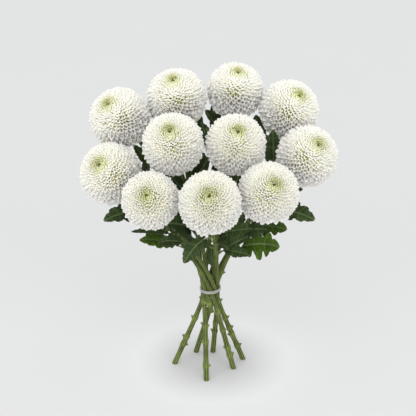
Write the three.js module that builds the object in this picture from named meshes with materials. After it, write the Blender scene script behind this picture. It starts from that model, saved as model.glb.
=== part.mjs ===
// A hand-tied bunch of eleven disbud chrysanthemums that stands by itself on its cut stems.
// Millimetres, +Z up, seen from -Y in front. The origin is on the floor, under the middle of the bunch.

import * as THREE from 'three';
import { ConvexHull } from 'three/addons/math/ConvexHull.js';

const { degToRad, lerp, smoothstep } = THREE.MathUtils;

// Driving dimensions
const GAP = 0.35;                        // clearance between neighbouring pieces
const TIE_HEIGHT = 135;                  // middle of the band above the floor
const TIE_CENTRE = [2.5, 0];             // the stems pass round this point at the band
const TIE_RING_RADIUS = 11.3;            // nine stems stand on this circle, two stand inside it
const TIE_INNER_OFFSET = 3.9;            // the two inner stems, either side of the middle
const TIE_TILT = degToRad(17);           // lean of the spiral's stems at the band
const FOOT_RADIUS = 4.3;                 // stem at the floor
const TIE_STEM_RADIUS = 3.4;             // stem at the band
const NECK_RADIUS = 2.9;                 // stem just under its bloom
const STEM_SIDES = 7;
const STUB_LENGTH = 3.2;                 // stub of a stripped leaf
const STUB_FOOT = [2.4, 1.6];            // how far it spreads down and up the stem
const PLAIN_RINGS = [32, 54, 80, 110, 144, 182, 222];  // where a bare stem bends, below its top
const RING_SPACING = 12;                 // the least between a plain ring and a stub
const CALYX_PROFILE = [[0, 8.8], [2, 8.6], [4.5, 6], [8, 3.4], [13, 2.9]];  // below the top, radius
const BAND_WIDTH = 3.6;
const BAND_THICKNESS = 1.2;
const BAND_CLEARANCE = 0.6;
const FLORETS = 88;                      // on each bloom, larger than life
const LAST_FLORET_ANGLE = degToRad(150);
const EYE_CROWDING = 1.25;               // over 1 brings the florets closer together at the eye
const FLORET_HALF_WIDTHS = [3.2, 5];     // at the eye and at the underside
const FLORET_CURL = [0.07, -0.06];       // how far a tip turns towards the eye, in radians, likewise
const TIP_ROUNDING = 2.2;                // how far a floret's shoulders lie below its tip
const TIP_SPREAD = 1.2;                  // how much the florets differ in length
const EYE_DIP = 0.05;                    // how much shorter the florets are there, as a share of the radius
const UNDERSIDE_DIP = 0.06;
const CORE_SHARE = 0.81;                 // depth of the gaps between florets, as a share of the radius
const CALYX_SEAT_SHARE = 0.76;           // where the bloom sits on its calyx, below the bloom's centre
const SEAT_RADIUS = 11.5;                // flat underside of the bloom, a little wider than the calyx
const BLADE_THICKNESS = 0.8;
const STALK_THICKNESS = 1.8;
const STALK_SHARE = 0.22;                // of a leaf's length
const LEAF_FOLD = 0.22;                  // how steeply the two halves of a blade rise from its midrib
const LEAF_WAVE = 0.16;
const GOLDEN_ANGLE = Math.PI * (3 - Math.sqrt(5));

const UP = new THREE.Vector3(0, 0, 1);

const petalMaterial = new THREE.MeshStandardMaterial({ color: 0xf3f2e8, roughness: 0.6, metalness: 0 });
const stemMaterial = new THREE.MeshStandardMaterial({ color: 0x78934a, roughness: 0.55, metalness: 0 });
const leafMaterial = new THREE.MeshStandardMaterial({ color: 0x3a5732, roughness: 0.5, metalness: 0 });
const bandMaterial = new THREE.MeshStandardMaterial({ color: 0xb9bdb9, roughness: 0.35, metalness: 0 });

// Each flower: the bloom's centre and radius, how far its eye leans from upright and to which side
// (0 towards the front, positive to the right), where its stem passes the band (an angle on the ring,
// or 'left' and 'right' inside it), and where the stem ends: on the floor at x, y or cut at a height.
// The stubs of stripped leaves are heights along the stem with the side that each one faces.
const flowers = [
  { name: 'back_far_left', centre: [-133, 59, 397], radius: 46, lean: 40, side: -40, slot: 240,
    cutAt: 104, stubs: [[118, -90]] },
  { name: 'back_left', centre: [-48, 79, 421], radius: 46, lean: 26, side: -19, slot: 200,
    foot: [-3.5, -44.5], stubs: [[119, 10], [82, 80], [58, -70], [22, 85]] },
  { name: 'back_right', centre: [40, 99, 426], radius: 43.5, lean: 22, side: 16, slot: 160,
    cutAt: 112, stubs: [[150, -100]] },
  { name: 'back_far_right', centre: [121, 77, 403], radius: 46, lean: 38, side: 36, slot: 120,
    foot: [-53.5, 5], stubs: [[116, -80], [82, -95], [48, -90], [36, 70]] },
  { name: 'middle_far_left', centre: [-144, -8, 336], radius: 46.5, lean: 49, side: -30, slot: 280,
    foot: [39, -10], stubs: [[168, -80], [102, 20], [70, 75], [38, -80], [24, 85]] },
  { name: 'middle_left', centre: [-52, -11, 385], radius: 46, lean: 39, side: -10, slot: 'left',
    cutAt: 98, stubs: [[110, -60]] },
  { name: 'middle_right', centre: [39, -1, 380], radius: 45.5, lean: 39, side: 7, slot: 'right',
    cutAt: 92, stubs: [[108, 60]] },
  { name: 'middle_far_right', centre: [145, 4, 359], radius: 46, lean: 44, side: 32, slot: 80,
    cutAt: 108, stubs: [[120, 140]] },
  { name: 'front_left', centre: [-84, -71, 323], radius: 42, lean: 55, side: -7, slot: 320,
    foot: [54.5, 18], stubs: [[118, 85], [84, 90], [64, 100], [52, -60], [28, 90]] },
  { name: 'front_middle', centre: [2, -96, 331], radius: 46, lean: 51, side: -2, slot: 0,
    foot: [7, 40], stubs: [[66, 90], [46, -90]] },
  { name: 'front_right', centre: [86, -63, 331], radius: 45, lean: 49, side: 14, slot: 40,
    foot: [-20, 40], stubs: [[166, 80], [92, -85], [60, -80]] },
];

// Each leaf: the flower whose stem carries it, the height where its stalk starts, where its tip is,
// how high it arches over the straight line, how far its upper side turns to the front,
// and its width against the usual one.
const leaves = [
  // Under the front and middle blooms
  { on: 'middle_far_left', from: 256, tip: [-156, -35, 274], arch: 16, face: 40, wide: 0.75 },
  { on: 'front_left', from: 238, tip: [-115, -40, 254], arch: 8, face: 20, wide: 0.6 },
  { on: 'middle_far_left', from: 206, tip: [-103, -38, 241], arch: 10, face: 65, wide: 0.7 },
  { on: 'middle_far_left', from: 230, tip: [-94, -14, 234], arch: 16, face: 45, wide: 1.0 },
  { on: 'front_left', from: 222, tip: [-75, -44, 239], arch: 10, face: 55, wide: 1.0 },
  { on: 'front_middle', from: 240, tip: [-37, -47, 207], arch: 22, face: 45, wide: 1.25 },
  { on: 'front_middle', from: 212, tip: [61, -50, 221], arch: 8, face: 45, wide: 0.9 },
  { on: 'front_right', from: 206, tip: [105, -52, 237], arch: 16, face: 70, wide: 1.1 },
  { on: 'middle_far_right', from: 224, tip: [117, -18, 248], arch: 16, face: 55, wide: 1.0 },
  { on: 'middle_far_right', from: 256, tip: [159, -6, 260], arch: 16, face: 40, wide: 0.85 },
  { on: 'middle_far_right', from: 280, tip: [141, 10, 301], arch: 4, face: 45, wide: 0.8 },
  { on: 'middle_left', from: 232, tip: [-63, -42, 270], arch: 6, face: 60, wide: 1.25 },
  { on: 'front_right', from: 238, tip: [52, 6, 266], arch: -4, face: 20, wide: 1.0 },
  { on: 'front_right', from: 232, tip: [86, -46, 262], arch: 12, face: 65, wide: 0.95 },
  { on: 'front_middle', from: 226, tip: [30, -44, 228], arch: 8, face: 35, wide: 1.2 },
  { on: 'front_middle', from: 250, tip: [63, -70, 276], arch: 0, face: 50, wide: 0.8 },
  // Between the blooms
  { on: 'back_left', from: 318, tip: [-15, 125, 384], arch: 0, face: 15, wide: 1.0 },
  { on: 'back_right', from: 322, tip: [5, 124, 391], arch: 0, face: 35, wide: 0.9 },
  { on: 'back_right', from: 334, tip: [59, 127, 387], arch: 0, face: 45, wide: 0.8 },
  { on: 'back_far_right', from: 322, tip: [72, 100, 385], arch: 0, face: 105, wide: 0.9 },
  { on: 'middle_far_right', from: 288, tip: [95, 32, 389], arch: 0, face: 145, wide: 0.8 },
  { on: 'back_far_left', from: 296, tip: [-115, 70, 349], arch: 0, face: 70, wide: 0.7 },
  { on: 'middle_left', from: 286, tip: [-65, 10, 332], arch: 0, face: 85, wide: 1.1 },
  { on: 'middle_left', from: 304, tip: [-19, 22, 344], arch: 0, face: 95, wide: 1.1 },
  { on: 'back_left', from: 290, tip: [-6, 60, 339], arch: 0, face: 110, wide: 1.2 },
  { on: 'middle_right', from: 304, tip: [-3, 60, 380], arch: 0, face: 40, wide: 0.9 },
  { on: 'middle_right', from: 284, tip: [8, 32, 340], arch: 0, face: 85, wide: 1.1 },
  { on: 'middle_right', from: 262, tip: [48, 62, 306], arch: -4, face: 25, wide: 1.0 },
  // Behind
  { on: 'back_right', from: 262, tip: [50, 118, 292], arch: 14, face: -10, wide: 1.0 },
  { on: 'back_left', from: 250, tip: [-56, 112, 284], arch: 14, face: -10, wide: 1.0 },
  { on: 'back_far_right', from: 256, tip: [118, 86, 290], arch: 12, face: -10, wide: 1.0 },
  { on: 'back_far_left', from: 268, tip: [-122, 82, 290], arch: 12, face: -10, wide: 1.0 },
  { on: 'back_left', from: 214, tip: [-9, 60, 175], arch: 8, face: 130, wide: 1.2 },
  { on: 'back_right', from: 228, tip: [24, 72, 174], arch: 16, face: 105, wide: 1.2 },
  { on: 'back_far_right', from: 232, tip: [59, 80, 184], arch: 14, face: 95, wide: 1.1 },
  { on: 'back_left', from: 234, tip: [-45, 72, 177], arch: 16, face: 95, wide: 1.2 },
  { on: 'back_far_left', from: 236, tip: [-79, 66, 198], arch: 14, face: 75, wide: 1.1 },
];

// Outline of a lobed leaf: distance along the blade and half width, both as a share of its length.
// The narrow places are the notches between its lobes.
const LEAF_OUTLINE = [
  [0.00, 0.03], [0.10, 0.10], [0.24, 0.23], [0.31, 0.15], [0.48, 0.29],
  [0.55, 0.27], [0.59, 0.18], [0.75, 0.21], [0.88, 0.12], [1.00, 0.012],
];

const seededRandom = (seed) => {
  let state = seed;
  return () => {
    state = (state + 0x6d2b79f5) | 0;
    let t = Math.imul(state ^ (state >>> 15), 1 | state);
    t = (t + Math.imul(t ^ (t >>> 7), 61 | t)) ^ t;
    return ((t ^ (t >>> 14)) >>> 0) / 4294967296;
  };
};

const bunch = new THREE.Group();

// A closed body from its corners and its triangles
const solid = (name, corners, triangles, material) => {
  const geometry = new THREE.BufferGeometry();
  const places = corners.flatMap((p) => [p.x, p.y, p.z]);
  geometry.setAttribute('position', new THREE.Float32BufferAttribute(places, 3));
  geometry.setIndex(triangles.flat());
  geometry.computeVertexNormals();
  const mesh = new THREE.Mesh(geometry, material);
  mesh.name = name;
  bunch.add(mesh);
};

// A bloom's axis: the unit vector from its calyx to its eye
const axisOf = ({ lean, side }) => {
  const tilt = degToRad(lean);
  const turn = degToRad(side);
  const level = Math.sin(tilt);
  return new THREE.Vector3(level * Math.sin(turn), -level * Math.cos(turn), Math.cos(tilt));
};

// Blooms
// Floret tips lie on a golden-angle spiral from the eye to the underside, closer together at the eye.
// The last direction is the underside itself.
const floretDirections = (axis, random) => {
  const right = new THREE.Vector3().crossVectors(UP, axis).normalize();
  const front = new THREE.Vector3().crossVectors(axis, right);
  const reach = 1 - Math.cos(LAST_FLORET_ANGLE);
  const startTurn = random() * Math.PI * 2;
  const directions = [];
  for (let i = 0; i < FLORETS; i++) {
    const fromEye = Math.acos(1 - reach * ((i + 0.5) / FLORETS) ** EYE_CROWDING) + (random() - 0.5) * 0.03;
    const turn = startTurn + i * GOLDEN_ANGLE + (random() - 0.5) * 0.05;
    const direction = axis.clone().multiplyScalar(Math.cos(fromEye));
    direction.addScaledVector(right, Math.sin(fromEye) * Math.cos(turn));
    direction.addScaledVector(front, Math.sin(fromEye) * Math.sin(turn));
    directions.push(direction);
  }
  directions.push(axis.clone().negate());
  return directions;
};

// The deepest points between the florets, each midway between three neighbours and numbered,
// with the numbers of those round each floret. Points closer than a millimetre are one.
const gapsBetween = (directions, coreRadius) => {
  const points = [];
  const rings = new Map(directions.map((direction) => [direction, []]));
  for (const face of new ConvexHull().setFromPoints(directions).faces) {
    const point = face.normal.clone().multiplyScalar(coreRadius);
    let number = points.findIndex((other) => other.distanceTo(point) < 1);
    if (number < 0) number = points.push(point) - 1;
    for (let k = 0; k < 3; k++) {
      const ring = rings.get(face.getEdge(k).head().point);
      if (!ring.includes(number)) ring.push(number);
    }
  }
  return { points, rings: directions.map((direction) => rings.get(direction)) };
};

// Joins a ring of corners to a ridge, which runs from left to right above it.
// Corners to the left and right of the ridge meet its ends, the others meet its middle.
const roofOver = (ring, ridge, turnOf) => {
  const ridgePointOf = (corner) => {
    if (ridge.length === 1) return 0;
    const turn = Math.abs(turnOf(corner));
    if (turn < Math.PI / 3) return 2;
    return turn > Math.PI * 2 / 3 ? 0 : 1;
  };
  const triangles = [];
  ring.forEach((corner, k) => {
    const next = ring[(k + 1) % ring.length];
    const last = ridgePointOf(next);
    let at = ridgePointOf(corner);
    triangles.push([corner, next, ridge[at]]);
    while (at !== last) {
      const step = Math.sign(last - at);
      triangles.push([next, ridge[at + step], ridge[at]]);
      at += step;
    }
  });
  return triangles;
};

// The planes between a bloom and its neighbours, as directions and distances from its centre
const wallsRound = (flower) => flowers.filter((other) => other !== flower).map((other) => {
  const normal = new THREE.Vector3(...other.centre).sub(new THREE.Vector3(...flower.centre));
  const distance = (normal.length() + flower.radius - other.radius - GAP) / 2;
  return { normal: normal.normalize(), distance };
});

// A bloom that presses on its neighbours stays on its own side of the planes between them.
const pressInside = (point, walls) => {
  for (const { normal, distance } of walls) {
    const reach = point.dot(normal);
    if (reach > distance) point.multiplyScalar(distance / reach);
  }
};

const addBloom = (flower, index) => {
  const random = seededRandom(100 + index);
  const axis = axisOf(flower);
  const directions = floretDirections(axis, random);
  const { points: corners, rings } = gapsBetween(directions, flower.radius * CORE_SHARE);
  const triangles = [];

  directions.forEach((direction, i) => {
    const isUnderside = i === FLORETS;
    const fromEye = direction.angleTo(axis);
    const towardsEye = (isUnderside ? new THREE.Vector3().crossVectors(axis, UP) : axis.clone())
      .addScaledVector(direction, isUnderside ? 0 : -axis.dot(direction)).normalize();
    const across = new THREE.Vector3().crossVectors(towardsEye, direction);
    const turnOf = (corner) => Math.atan2(corners[corner].dot(towardsEye), corners[corner].dot(across));
    const ring = rings[i].sort((a, b) => turnOf(a) - turnOf(b));

    if (isUnderside) {
      const depth = flower.radius * CALYX_SEAT_SHARE;
      for (const corner of ring) {
        const turn = turnOf(corner);
        corners[corner].copy(direction).multiplyScalar(depth)
          .addScaledVector(across, Math.cos(turn) * SEAT_RADIUS)
          .addScaledVector(towardsEye, Math.sin(turn) * SEAT_RADIUS);
      }
      corners.push(direction.clone().multiplyScalar(depth));
      triangles.push(...roofOver(ring, [corners.length - 1], turnOf));
      return;
    }

    const share = fromEye / LAST_FLORET_ANGLE;
    const dip = EYE_DIP * (1 - smoothstep(share, 0, 0.2)) + UNDERSIDE_DIP * smoothstep(share, 0.7, 1);
    const tipRadius = flower.radius * (1 - dip) - random() * TIP_SPREAD;
    const halfWidth = lerp(...FLORET_HALF_WIDTHS, share);
    const tip = direction.clone().addScaledVector(towardsEye, lerp(...FLORET_CURL, share)).normalize()
      .multiplyScalar(tipRadius);
    const shoulder = tip.clone().multiplyScalar(1 - TIP_ROUNDING / tipRadius);
    const ridge = [-halfWidth, 0, halfWidth].map((offset) => (offset ? shoulder : tip).clone()
      .addScaledVector(across, offset));
    const first = corners.push(...ridge) - 3;
    triangles.push(...roofOver(ring, [first, first + 1, first + 2], turnOf));
  });

  const walls = wallsRound(flower);
  corners.forEach((corner) => pressInside(corner, walls));
  const centre = new THREE.Vector3(...flower.centre);
  solid(`bloom_${flower.name}`, corners.map((corner) => corner.add(centre)), triangles, petalMaterial);
};

// Stems
// Where a stem passes the band
const slotOf = ({ slot }) => {
  const [x, y] = TIE_CENTRE;
  if (slot === 'left') return new THREE.Vector3(x - TIE_INNER_OFFSET, y, TIE_HEIGHT);
  if (slot === 'right') return new THREE.Vector3(x + TIE_INNER_OFFSET, y, TIE_HEIGHT);
  const turn = degToRad(slot);
  return new THREE.Vector3(
    x + TIE_RING_RADIUS * Math.cos(turn), y + TIE_RING_RADIUS * Math.sin(turn), TIE_HEIGHT,
  );
};

// Which way a stem runs at the band: up the spiral, or straight up inside it
const headingOf = ({ slot }) => {
  if (typeof slot === 'string') return UP.clone();
  const turn = degToRad(slot);
  const level = Math.sin(TIE_TILT);
  return new THREE.Vector3(level * Math.sin(turn), -level * Math.cos(turn), Math.cos(TIE_TILT));
};

// The stem's middle line: from the floor or from its cut end, past the band, up into the bloom's axis
const stemPath = (flower) => {
  const axis = axisOf(flower);
  const slot = slotOf(flower);
  const heading = headingOf(flower);
  const top = new THREE.Vector3(...flower.centre)
    .addScaledVector(axis, -flower.radius * CALYX_SEAT_SHARE - GAP);
  const climb = top.clone().sub(slot);
  const path = new THREE.CurvePath();
  if (flower.foot) {
    const foot = new THREE.Vector3(...flower.foot, 0);
    const rise = slot.clone().sub(foot);
    path.add(new THREE.CubicBezierCurve3(
      foot,
      foot.clone().addScaledVector(rise, 0.3),
      slot.clone().addScaledVector(heading, -0.3 * rise.length()),
      slot,
    ));
  } else {
    const end = slot.clone().addScaledVector(heading, (flower.cutAt - TIE_HEIGHT) / heading.z);
    path.add(new THREE.LineCurve3(end, slot));
  }
  path.add(new THREE.CubicBezierCurve3(
    slot,
    slot.clone().addScaledVector(heading, 0.35 * climb.length()),
    top.clone().addScaledVector(axis, -0.35 * climb.length()),
    top,
  ));
  return path;
};

// The share of a stem's length where it passes a height
const shareAtHeight = (path, height) => {
  let low = 0;
  let high = 1;
  for (let i = 0; i < 24; i++) {
    const middle = (low + high) / 2;
    if (path.getPointAt(middle).z < height) low = middle;
    else high = middle;
  }
  return low;
};

const stemRadius = (path, share) => {
  const { z } = path.getPointAt(share);
  if (z < TIE_HEIGHT) return lerp(FOOT_RADIUS, TIE_STEM_RADIUS, z / TIE_HEIGHT);
  const slotShare = shareAtHeight(path, TIE_HEIGHT);
  return lerp(TIE_STEM_RADIUS, NECK_RADIUS, (share - slotShare) / (1 - slotShare));
};

// Unit vectors across a stem: one level, one square to it and to the stem
const crossFrame = (tangent) => {
  const level = new THREE.Vector3().crossVectors(UP, tangent).normalize();
  return { level, square: new THREE.Vector3().crossVectors(tangent, level) };
};

// The rings of a stem from its end to its top: plain ones where it bends, three round each stub,
// and those of the calyx
const ringsOf = (flower) => {
  const path = stemPath(flower);
  const length = path.getLength();
  const rings = [{ share: 0 }];
  for (const [height, side] of flower.stubs) {
    const share = shareAtHeight(path, height);
    const [down, up] = STUB_FOOT;
    rings.push({ share: share - down / length }, { share, stub: side }, { share: share + up / length });
  }
  const tieShare = shareAtHeight(path, TIE_HEIGHT);
  for (const share of [tieShare, ...PLAIN_RINGS.map((below) => 1 - below / length)]) {
    const isClear = rings.every((ring) => Math.abs(ring.share - share) * length > RING_SPACING);
    if (share >= tieShare && isClear) rings.push({ share });
  }
  CALYX_PROFILE.forEach(([below, radius]) => rings.push({ share: 1 - below / length, radius }));
  rings.sort((a, b) => a.share - b.share);
  return rings.map(({ share, stub, radius = stemRadius(path, share) }) => ({
    middle: path.getPointAt(share), tangent: path.getTangentAt(share), radius, stub,
  }));
};

const addStem = (flower) => {
  const rings = ringsOf(flower);
  const corners = [];
  rings.forEach(({ middle, tangent, radius, stub }, i) => {
    const { level, square } = crossFrame(tangent);
    const ring = [];
    for (let k = 0; k < STEM_SIDES; k++) {
      const turn = k / STEM_SIDES * Math.PI * 2;
      ring.push(level.clone().multiplyScalar(Math.cos(turn)).addScaledVector(square, Math.sin(turn)));
    }
    if (stub !== undefined) {
      const facing = new THREE.Vector3(Math.sin(degToRad(stub)), -Math.cos(degToRad(stub)), 0);
      const nearest = ring.reduce((best, out) => (out.dot(facing) > best.dot(facing) ? out : best));
      nearest.multiplyScalar(1 + STUB_LENGTH / radius).addScaledVector(UP, 1 / radius);
    }
    for (const out of ring) {
      const corner = middle.clone().addScaledVector(out, radius);
      if (i === 0 && flower.foot) corner.addScaledVector(tangent, -corner.z / tangent.z);
      corners.push(corner);
    }
  });
  const bottom = corners.push(rings[0].middle) - 1;
  const top = corners.push(rings[rings.length - 1].middle) - 1;
  const lastRing = (rings.length - 1) * STEM_SIDES;
  const triangles = [];
  for (let k = 0; k < STEM_SIDES; k++) {
    const next = (k + 1) % STEM_SIDES;
    for (let ring = 0; ring < lastRing; ring += STEM_SIDES) {
      const above = ring + STEM_SIDES;
      triangles.push([ring + k, ring + next, above + next], [ring + k, above + next, above + k]);
    }
    triangles.push([bottom, next, k], [top, lastRing + k, lastRing + next]);
  }
  solid(`stem_${flower.name}`, corners, triangles, stemMaterial);
};

// Where a stem's straight stretches pass a height, with their direction and radius there
const stemAtHeight = (flower, height) => {
  const rings = ringsOf(flower);
  const above = rings.findIndex(({ middle }) => middle.z > height);
  const [from, to] = [rings[above - 1], rings[above]];
  const share = (height - from.middle.z) / (to.middle.z - from.middle.z);
  return {
    middle: from.middle.clone().lerp(to.middle, share),
    along: to.middle.clone().sub(from.middle).normalize(),
    radius: lerp(from.radius, to.radius, share),
  };
};

// Leaves
const addLeaf = (leaf, index) => {
  const flower = flowers.find(({ name }) => name === leaf.on);
  const random = seededRandom(500 + index);
  const { middle: onStem, along, radius } = stemAtHeight(flower, leaf.from);
  const tip = new THREE.Vector3(...leaf.tip);
  const outward = tip.clone().sub(onStem);
  outward.addScaledVector(along, -outward.dot(along)).normalize();
  const base = onStem.clone().addScaledVector(outward, radius + GAP);
  const bend = base.clone().lerp(tip, 0.45).addScaledVector(UP, leaf.arch);
  const spine = new THREE.QuadraticBezierCurve3(base, bend, tip);
  const bladeLength = spine.getLength() * (1 - STALK_SHARE);
  const wavePhase = random() * Math.PI * 2;
  const turnToFront = degToRad(leaf.face) * Math.sign(tip.x - base.x);

  const stations = [
    { share: 0, half: STALK_THICKNESS / 2, thickness: STALK_THICKNESS },
    { share: STALK_SHARE * 0.6, half: STALK_THICKNESS / 2, thickness: STALK_THICKNESS },
  ];
  for (const [distance, halfWidth] of LEAF_OUTLINE) {
    stations.push({
      share: lerp(STALK_SHARE, 1, distance),
      half: Math.max(halfWidth * bladeLength * leaf.wide, 0.5),
      thickness: BLADE_THICKNESS,
    });
  }

  const corners = [];
  const triangles = [];
  stations.forEach(({ share: spineShare, half, thickness }, i) => {
    const middle = spine.getPointAt(spineShare);
    const tangent = i === 0 ? outward : spine.getTangentAt(spineShare);
    const across = new THREE.Vector3().crossVectors(tangent, UP).normalize();
    across.applyAxisAngle(tangent, turnToFront * smoothstep(spineShare, 0, 0.4));
    const upwards = new THREE.Vector3().crossVectors(across, tangent);
    const row = [-1, 0, 1].map((side) => {
      const wave = LEAF_WAVE * Math.sin(wavePhase + spineShare * 11 + side);
      const lift = half * (LEAF_FOLD + wave) * Math.abs(side);
      return middle.clone().addScaledVector(across, side * half).addScaledVector(upwards, lift);
    });
    corners.push(...row.map((p) => p.clone().addScaledVector(upwards, thickness / 2)));
    corners.push(...row.map((p) => p.clone().addScaledVector(upwards, -thickness / 2)));
    if (i === 0) return;

    // Six corners a row: left, middle and right above, then the same below
    const near = (i - 1) * 6;
    const far = i * 6;
    for (const k of [0, 1]) {
      triangles.push([near + k, near + k + 1, far + k + 1], [near + k, far + k + 1, far + k]);
      triangles.push([near + k + 3, far + k + 4, near + k + 4], [near + k + 3, far + k + 3, far + k + 4]);
    }
    triangles.push([near, far, far + 3], [near, far + 3, near + 3]);
    triangles.push([near + 2, near + 5, far + 5], [near + 2, far + 5, far + 2]);
  });
  const last = (stations.length - 1) * 6;
  triangles.push([0, 3, 4], [0, 4, 1], [1, 4, 5], [1, 5, 2]);
  triangles.push([last, last + 4, last + 3], [last, last + 1, last + 4]);
  triangles.push([last + 1, last + 5, last + 4], [last + 1, last + 2, last + 5]);
  solid(`leaf_${leaf.on}_${leaf.from}`, corners, triangles, leafMaterial);
};

// The band runs straight from stem to stem and bends round each of the nine outer ones.
const addBand = () => {
  const corners = [];
  const reach = TIE_STEM_RADIUS + BAND_CLEARANCE;
  for (let slot = 0; slot < 360; slot += 40) {
    for (const bend of [-20, 0, 20]) {
      const stem = degToRad(slot);
      const turn = degToRad(slot + bend);
      for (const [out, up] of [[0, -1], [1, -1], [1, 1], [0, 1]]) {
        const radius = reach + out * BAND_THICKNESS;
        corners.push(new THREE.Vector3(
          TIE_CENTRE[0] + TIE_RING_RADIUS * Math.cos(stem) + radius * Math.cos(turn),
          TIE_CENTRE[1] + TIE_RING_RADIUS * Math.sin(stem) + radius * Math.sin(turn),
          TIE_HEIGHT + up * BAND_WIDTH / 2,
        ));
      }
    }
  }
  const triangles = [];
  for (let row = 0; row < corners.length; row += 4) {
    const next = (row + 4) % corners.length;
    for (let k = 0; k < 4; k++) {
      const side = (k + 1) % 4;
      triangles.push([row + k, next + k, next + side], [row + k, next + side, row + side]);
    }
  }
  solid('tie_band', corners, triangles, bandMaterial);
};

flowers.forEach(addBloom);
flowers.forEach(addStem);
leaves.forEach(addLeaf);
addBand();

export default bunch;
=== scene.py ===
"""A hand-tied bunch of eleven disbud chrysanthemums that stands by itself on its cut stems.

Metres, +Z up, seen from -Y in front. The plain solids of the frame give every place and size:
each bloom, stem, leaf and the band is modelled over its plain solid, which it then stands for.
"""

import math
from collections import namedtuple

import bmesh
import bpy
import numpy as np
from mathutils import Matrix, Vector


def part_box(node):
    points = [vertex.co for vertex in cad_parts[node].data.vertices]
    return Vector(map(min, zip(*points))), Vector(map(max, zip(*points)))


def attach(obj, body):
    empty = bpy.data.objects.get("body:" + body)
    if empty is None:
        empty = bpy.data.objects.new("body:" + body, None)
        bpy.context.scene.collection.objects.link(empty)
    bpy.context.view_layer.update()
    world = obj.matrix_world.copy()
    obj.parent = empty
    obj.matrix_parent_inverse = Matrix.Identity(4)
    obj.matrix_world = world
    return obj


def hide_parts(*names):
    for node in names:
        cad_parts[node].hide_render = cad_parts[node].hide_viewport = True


bl_info = {
    "name": "Tied bunch of disbud chrysanthemums",
    "version": (1, 0, 0),
    "blender": (4, 5, 0),
    "location": "View3D > Sidebar > Bunch",
    "description": "Models white disbud chrysanthemums with their stems, leaves and band",
    "category": "Add Mesh",
}

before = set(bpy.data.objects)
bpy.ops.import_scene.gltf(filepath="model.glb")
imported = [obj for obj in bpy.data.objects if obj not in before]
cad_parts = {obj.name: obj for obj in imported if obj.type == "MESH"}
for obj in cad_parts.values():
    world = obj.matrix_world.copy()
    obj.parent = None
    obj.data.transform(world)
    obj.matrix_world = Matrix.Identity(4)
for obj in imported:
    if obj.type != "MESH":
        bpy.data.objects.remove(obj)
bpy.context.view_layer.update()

MM = 0.001
WELD = 1e-6                 # corners nearer than this are one
GOLDEN_ANGLE = math.pi * (3 - math.sqrt(5))
FLOWERS = sorted(name.removeprefix("stem_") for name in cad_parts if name.startswith("stem_"))

# The plain stems
STEM_SIDES = 7
STANDS_OUT = 1.35           # a corner this much farther out than the others is the tip of a stub
POINT_LENGTH = 8 * MM       # two stems run out in a point inside the tie, which is longer than this
POINT_RADIUS = 0.5 * MM
SEAT_SHARE = 0.76           # depth of the calyx below the bloom's centre, as a share of the bloom's radius
SEAT_GAP = 0.35 * MM        # between the stem's top and the bloom's flat underside

# Stems: a swelling at a node and the paler green on it fade over these lengths
SWELLING_LENGTH = 4.5 * MM
PALE_LENGTH = 3 * MM
PALE_SHARE = 0.45           # how far a node turns to the stubs' green
STUB_SINK = 0.72            # where a stub starts, as a share of the stem's radius
# The rows of bracts on a calyx, in mm: below the stem's top, radius, flare, length, and how many
BRACT_ROWS = ((9.5, 3.6, 0.5775, 7.0, 9), (6.5, 5.2, 0.715, 7.0, 10), (3.6, 7.3, 0.88, 6.0, 11))

# Florets: how far along, half width against the widest place
FLORET_STATIONS = [
    (0.0, 0.50), (0.38, 0.77), (0.60, 0.98), (0.72, 1.0), (0.83, 0.84), (0.92, 0.52), (1.0, 0.06),
]
# Cross-section of a floret, its groove towards +Y: first its back from edge to edge, then its inner side
FLORET_SECTION = [
    (-1.0, 0.70), (-0.84, -0.20), (0.0, -0.70), (0.84, -0.20), (1.0, 0.70),
    (0.58, 0.22), (0.0, -0.30), (-0.58, 0.22),
]
# The material darkens each floret towards the bottom of its groove as painted shade.
FLORET_GROOVE = [0.0, 0.1, 0.35, 0.1, 0.0, 0.5, 1.0, 0.5]     # how deep in the groove each corner lies
FLORET_BASE_SHARE = 0.56    # where florets start, as a share of the bloom's radius
LONGEST_BASE_SHARE = 0.72   # and at most this far along their reach
CORE_SHARE = 0.66           # radius of the closed body that they grow from
LAST_FLORET = 156           # degrees from the eye
EYE_WIDTH = 11              # degrees over which the dip of the eye fades
CROWN_WIDTH = 50            # and that of the crown round it
PACKING = 0.87              # room that a floret takes, against the square of its spacing
STRAY = 0.1                 # how far it strays from its place, against its spacing
TWIST = 0.1                 # how far it is turned about its own line, in radians
HOOK_START = 0.62           # where its tip begins to turn, as a share of its length
HOOKS = [(0, 0.9), (8, 0.7), (25, 0.15), (50, -0.1), (90, -0.3), (156, -0.7)]    # by degrees from the eye

# Outline of a leaf blade: distance from its base and half width, as shares of its length.
# Each lobe has its teeth, and the narrow places are the notches between lobes.
LEAF_OUTLINE = [
    (0.00, 0.028), (0.04, 0.040), (0.08, 0.080), (0.11, 0.090), (0.15, 0.160), (0.18, 0.172),
    (0.21, 0.225), (0.25, 0.240), (0.28, 0.215), (0.30, 0.130), (0.315, 0.115), (0.34, 0.130),
    (0.38, 0.205), (0.41, 0.220), (0.44, 0.285), (0.48, 0.305), (0.52, 0.310), (0.55, 0.285),
    (0.575, 0.230), (0.585, 0.150), (0.60, 0.130), (0.63, 0.145), (0.67, 0.190), (0.69, 0.195),
    (0.72, 0.232), (0.76, 0.225), (0.785, 0.190), (0.80, 0.130), (0.82, 0.110), (0.85, 0.128),
    (0.88, 0.125), (0.91, 0.105), (0.95, 0.080), (0.98, 0.045), (1.00, 0.012),
]
LEAF_SLANT = 0.6            # how far a side vein runs towards the tip for its reach across
LEAF_VEINS = [0.10, 0.31, 0.60, 0.80]   # where the side veins leave the midrib
STALK_SHARE = 0.22          # of a leaf's length

# The band lies this far over the middle of its plain ring, and is tilted by this much
BAND_RISE = 3.6 * MM
BAND_TILT = 1.2 * MM
BAND_STEPS = 72             # in one turn

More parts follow.
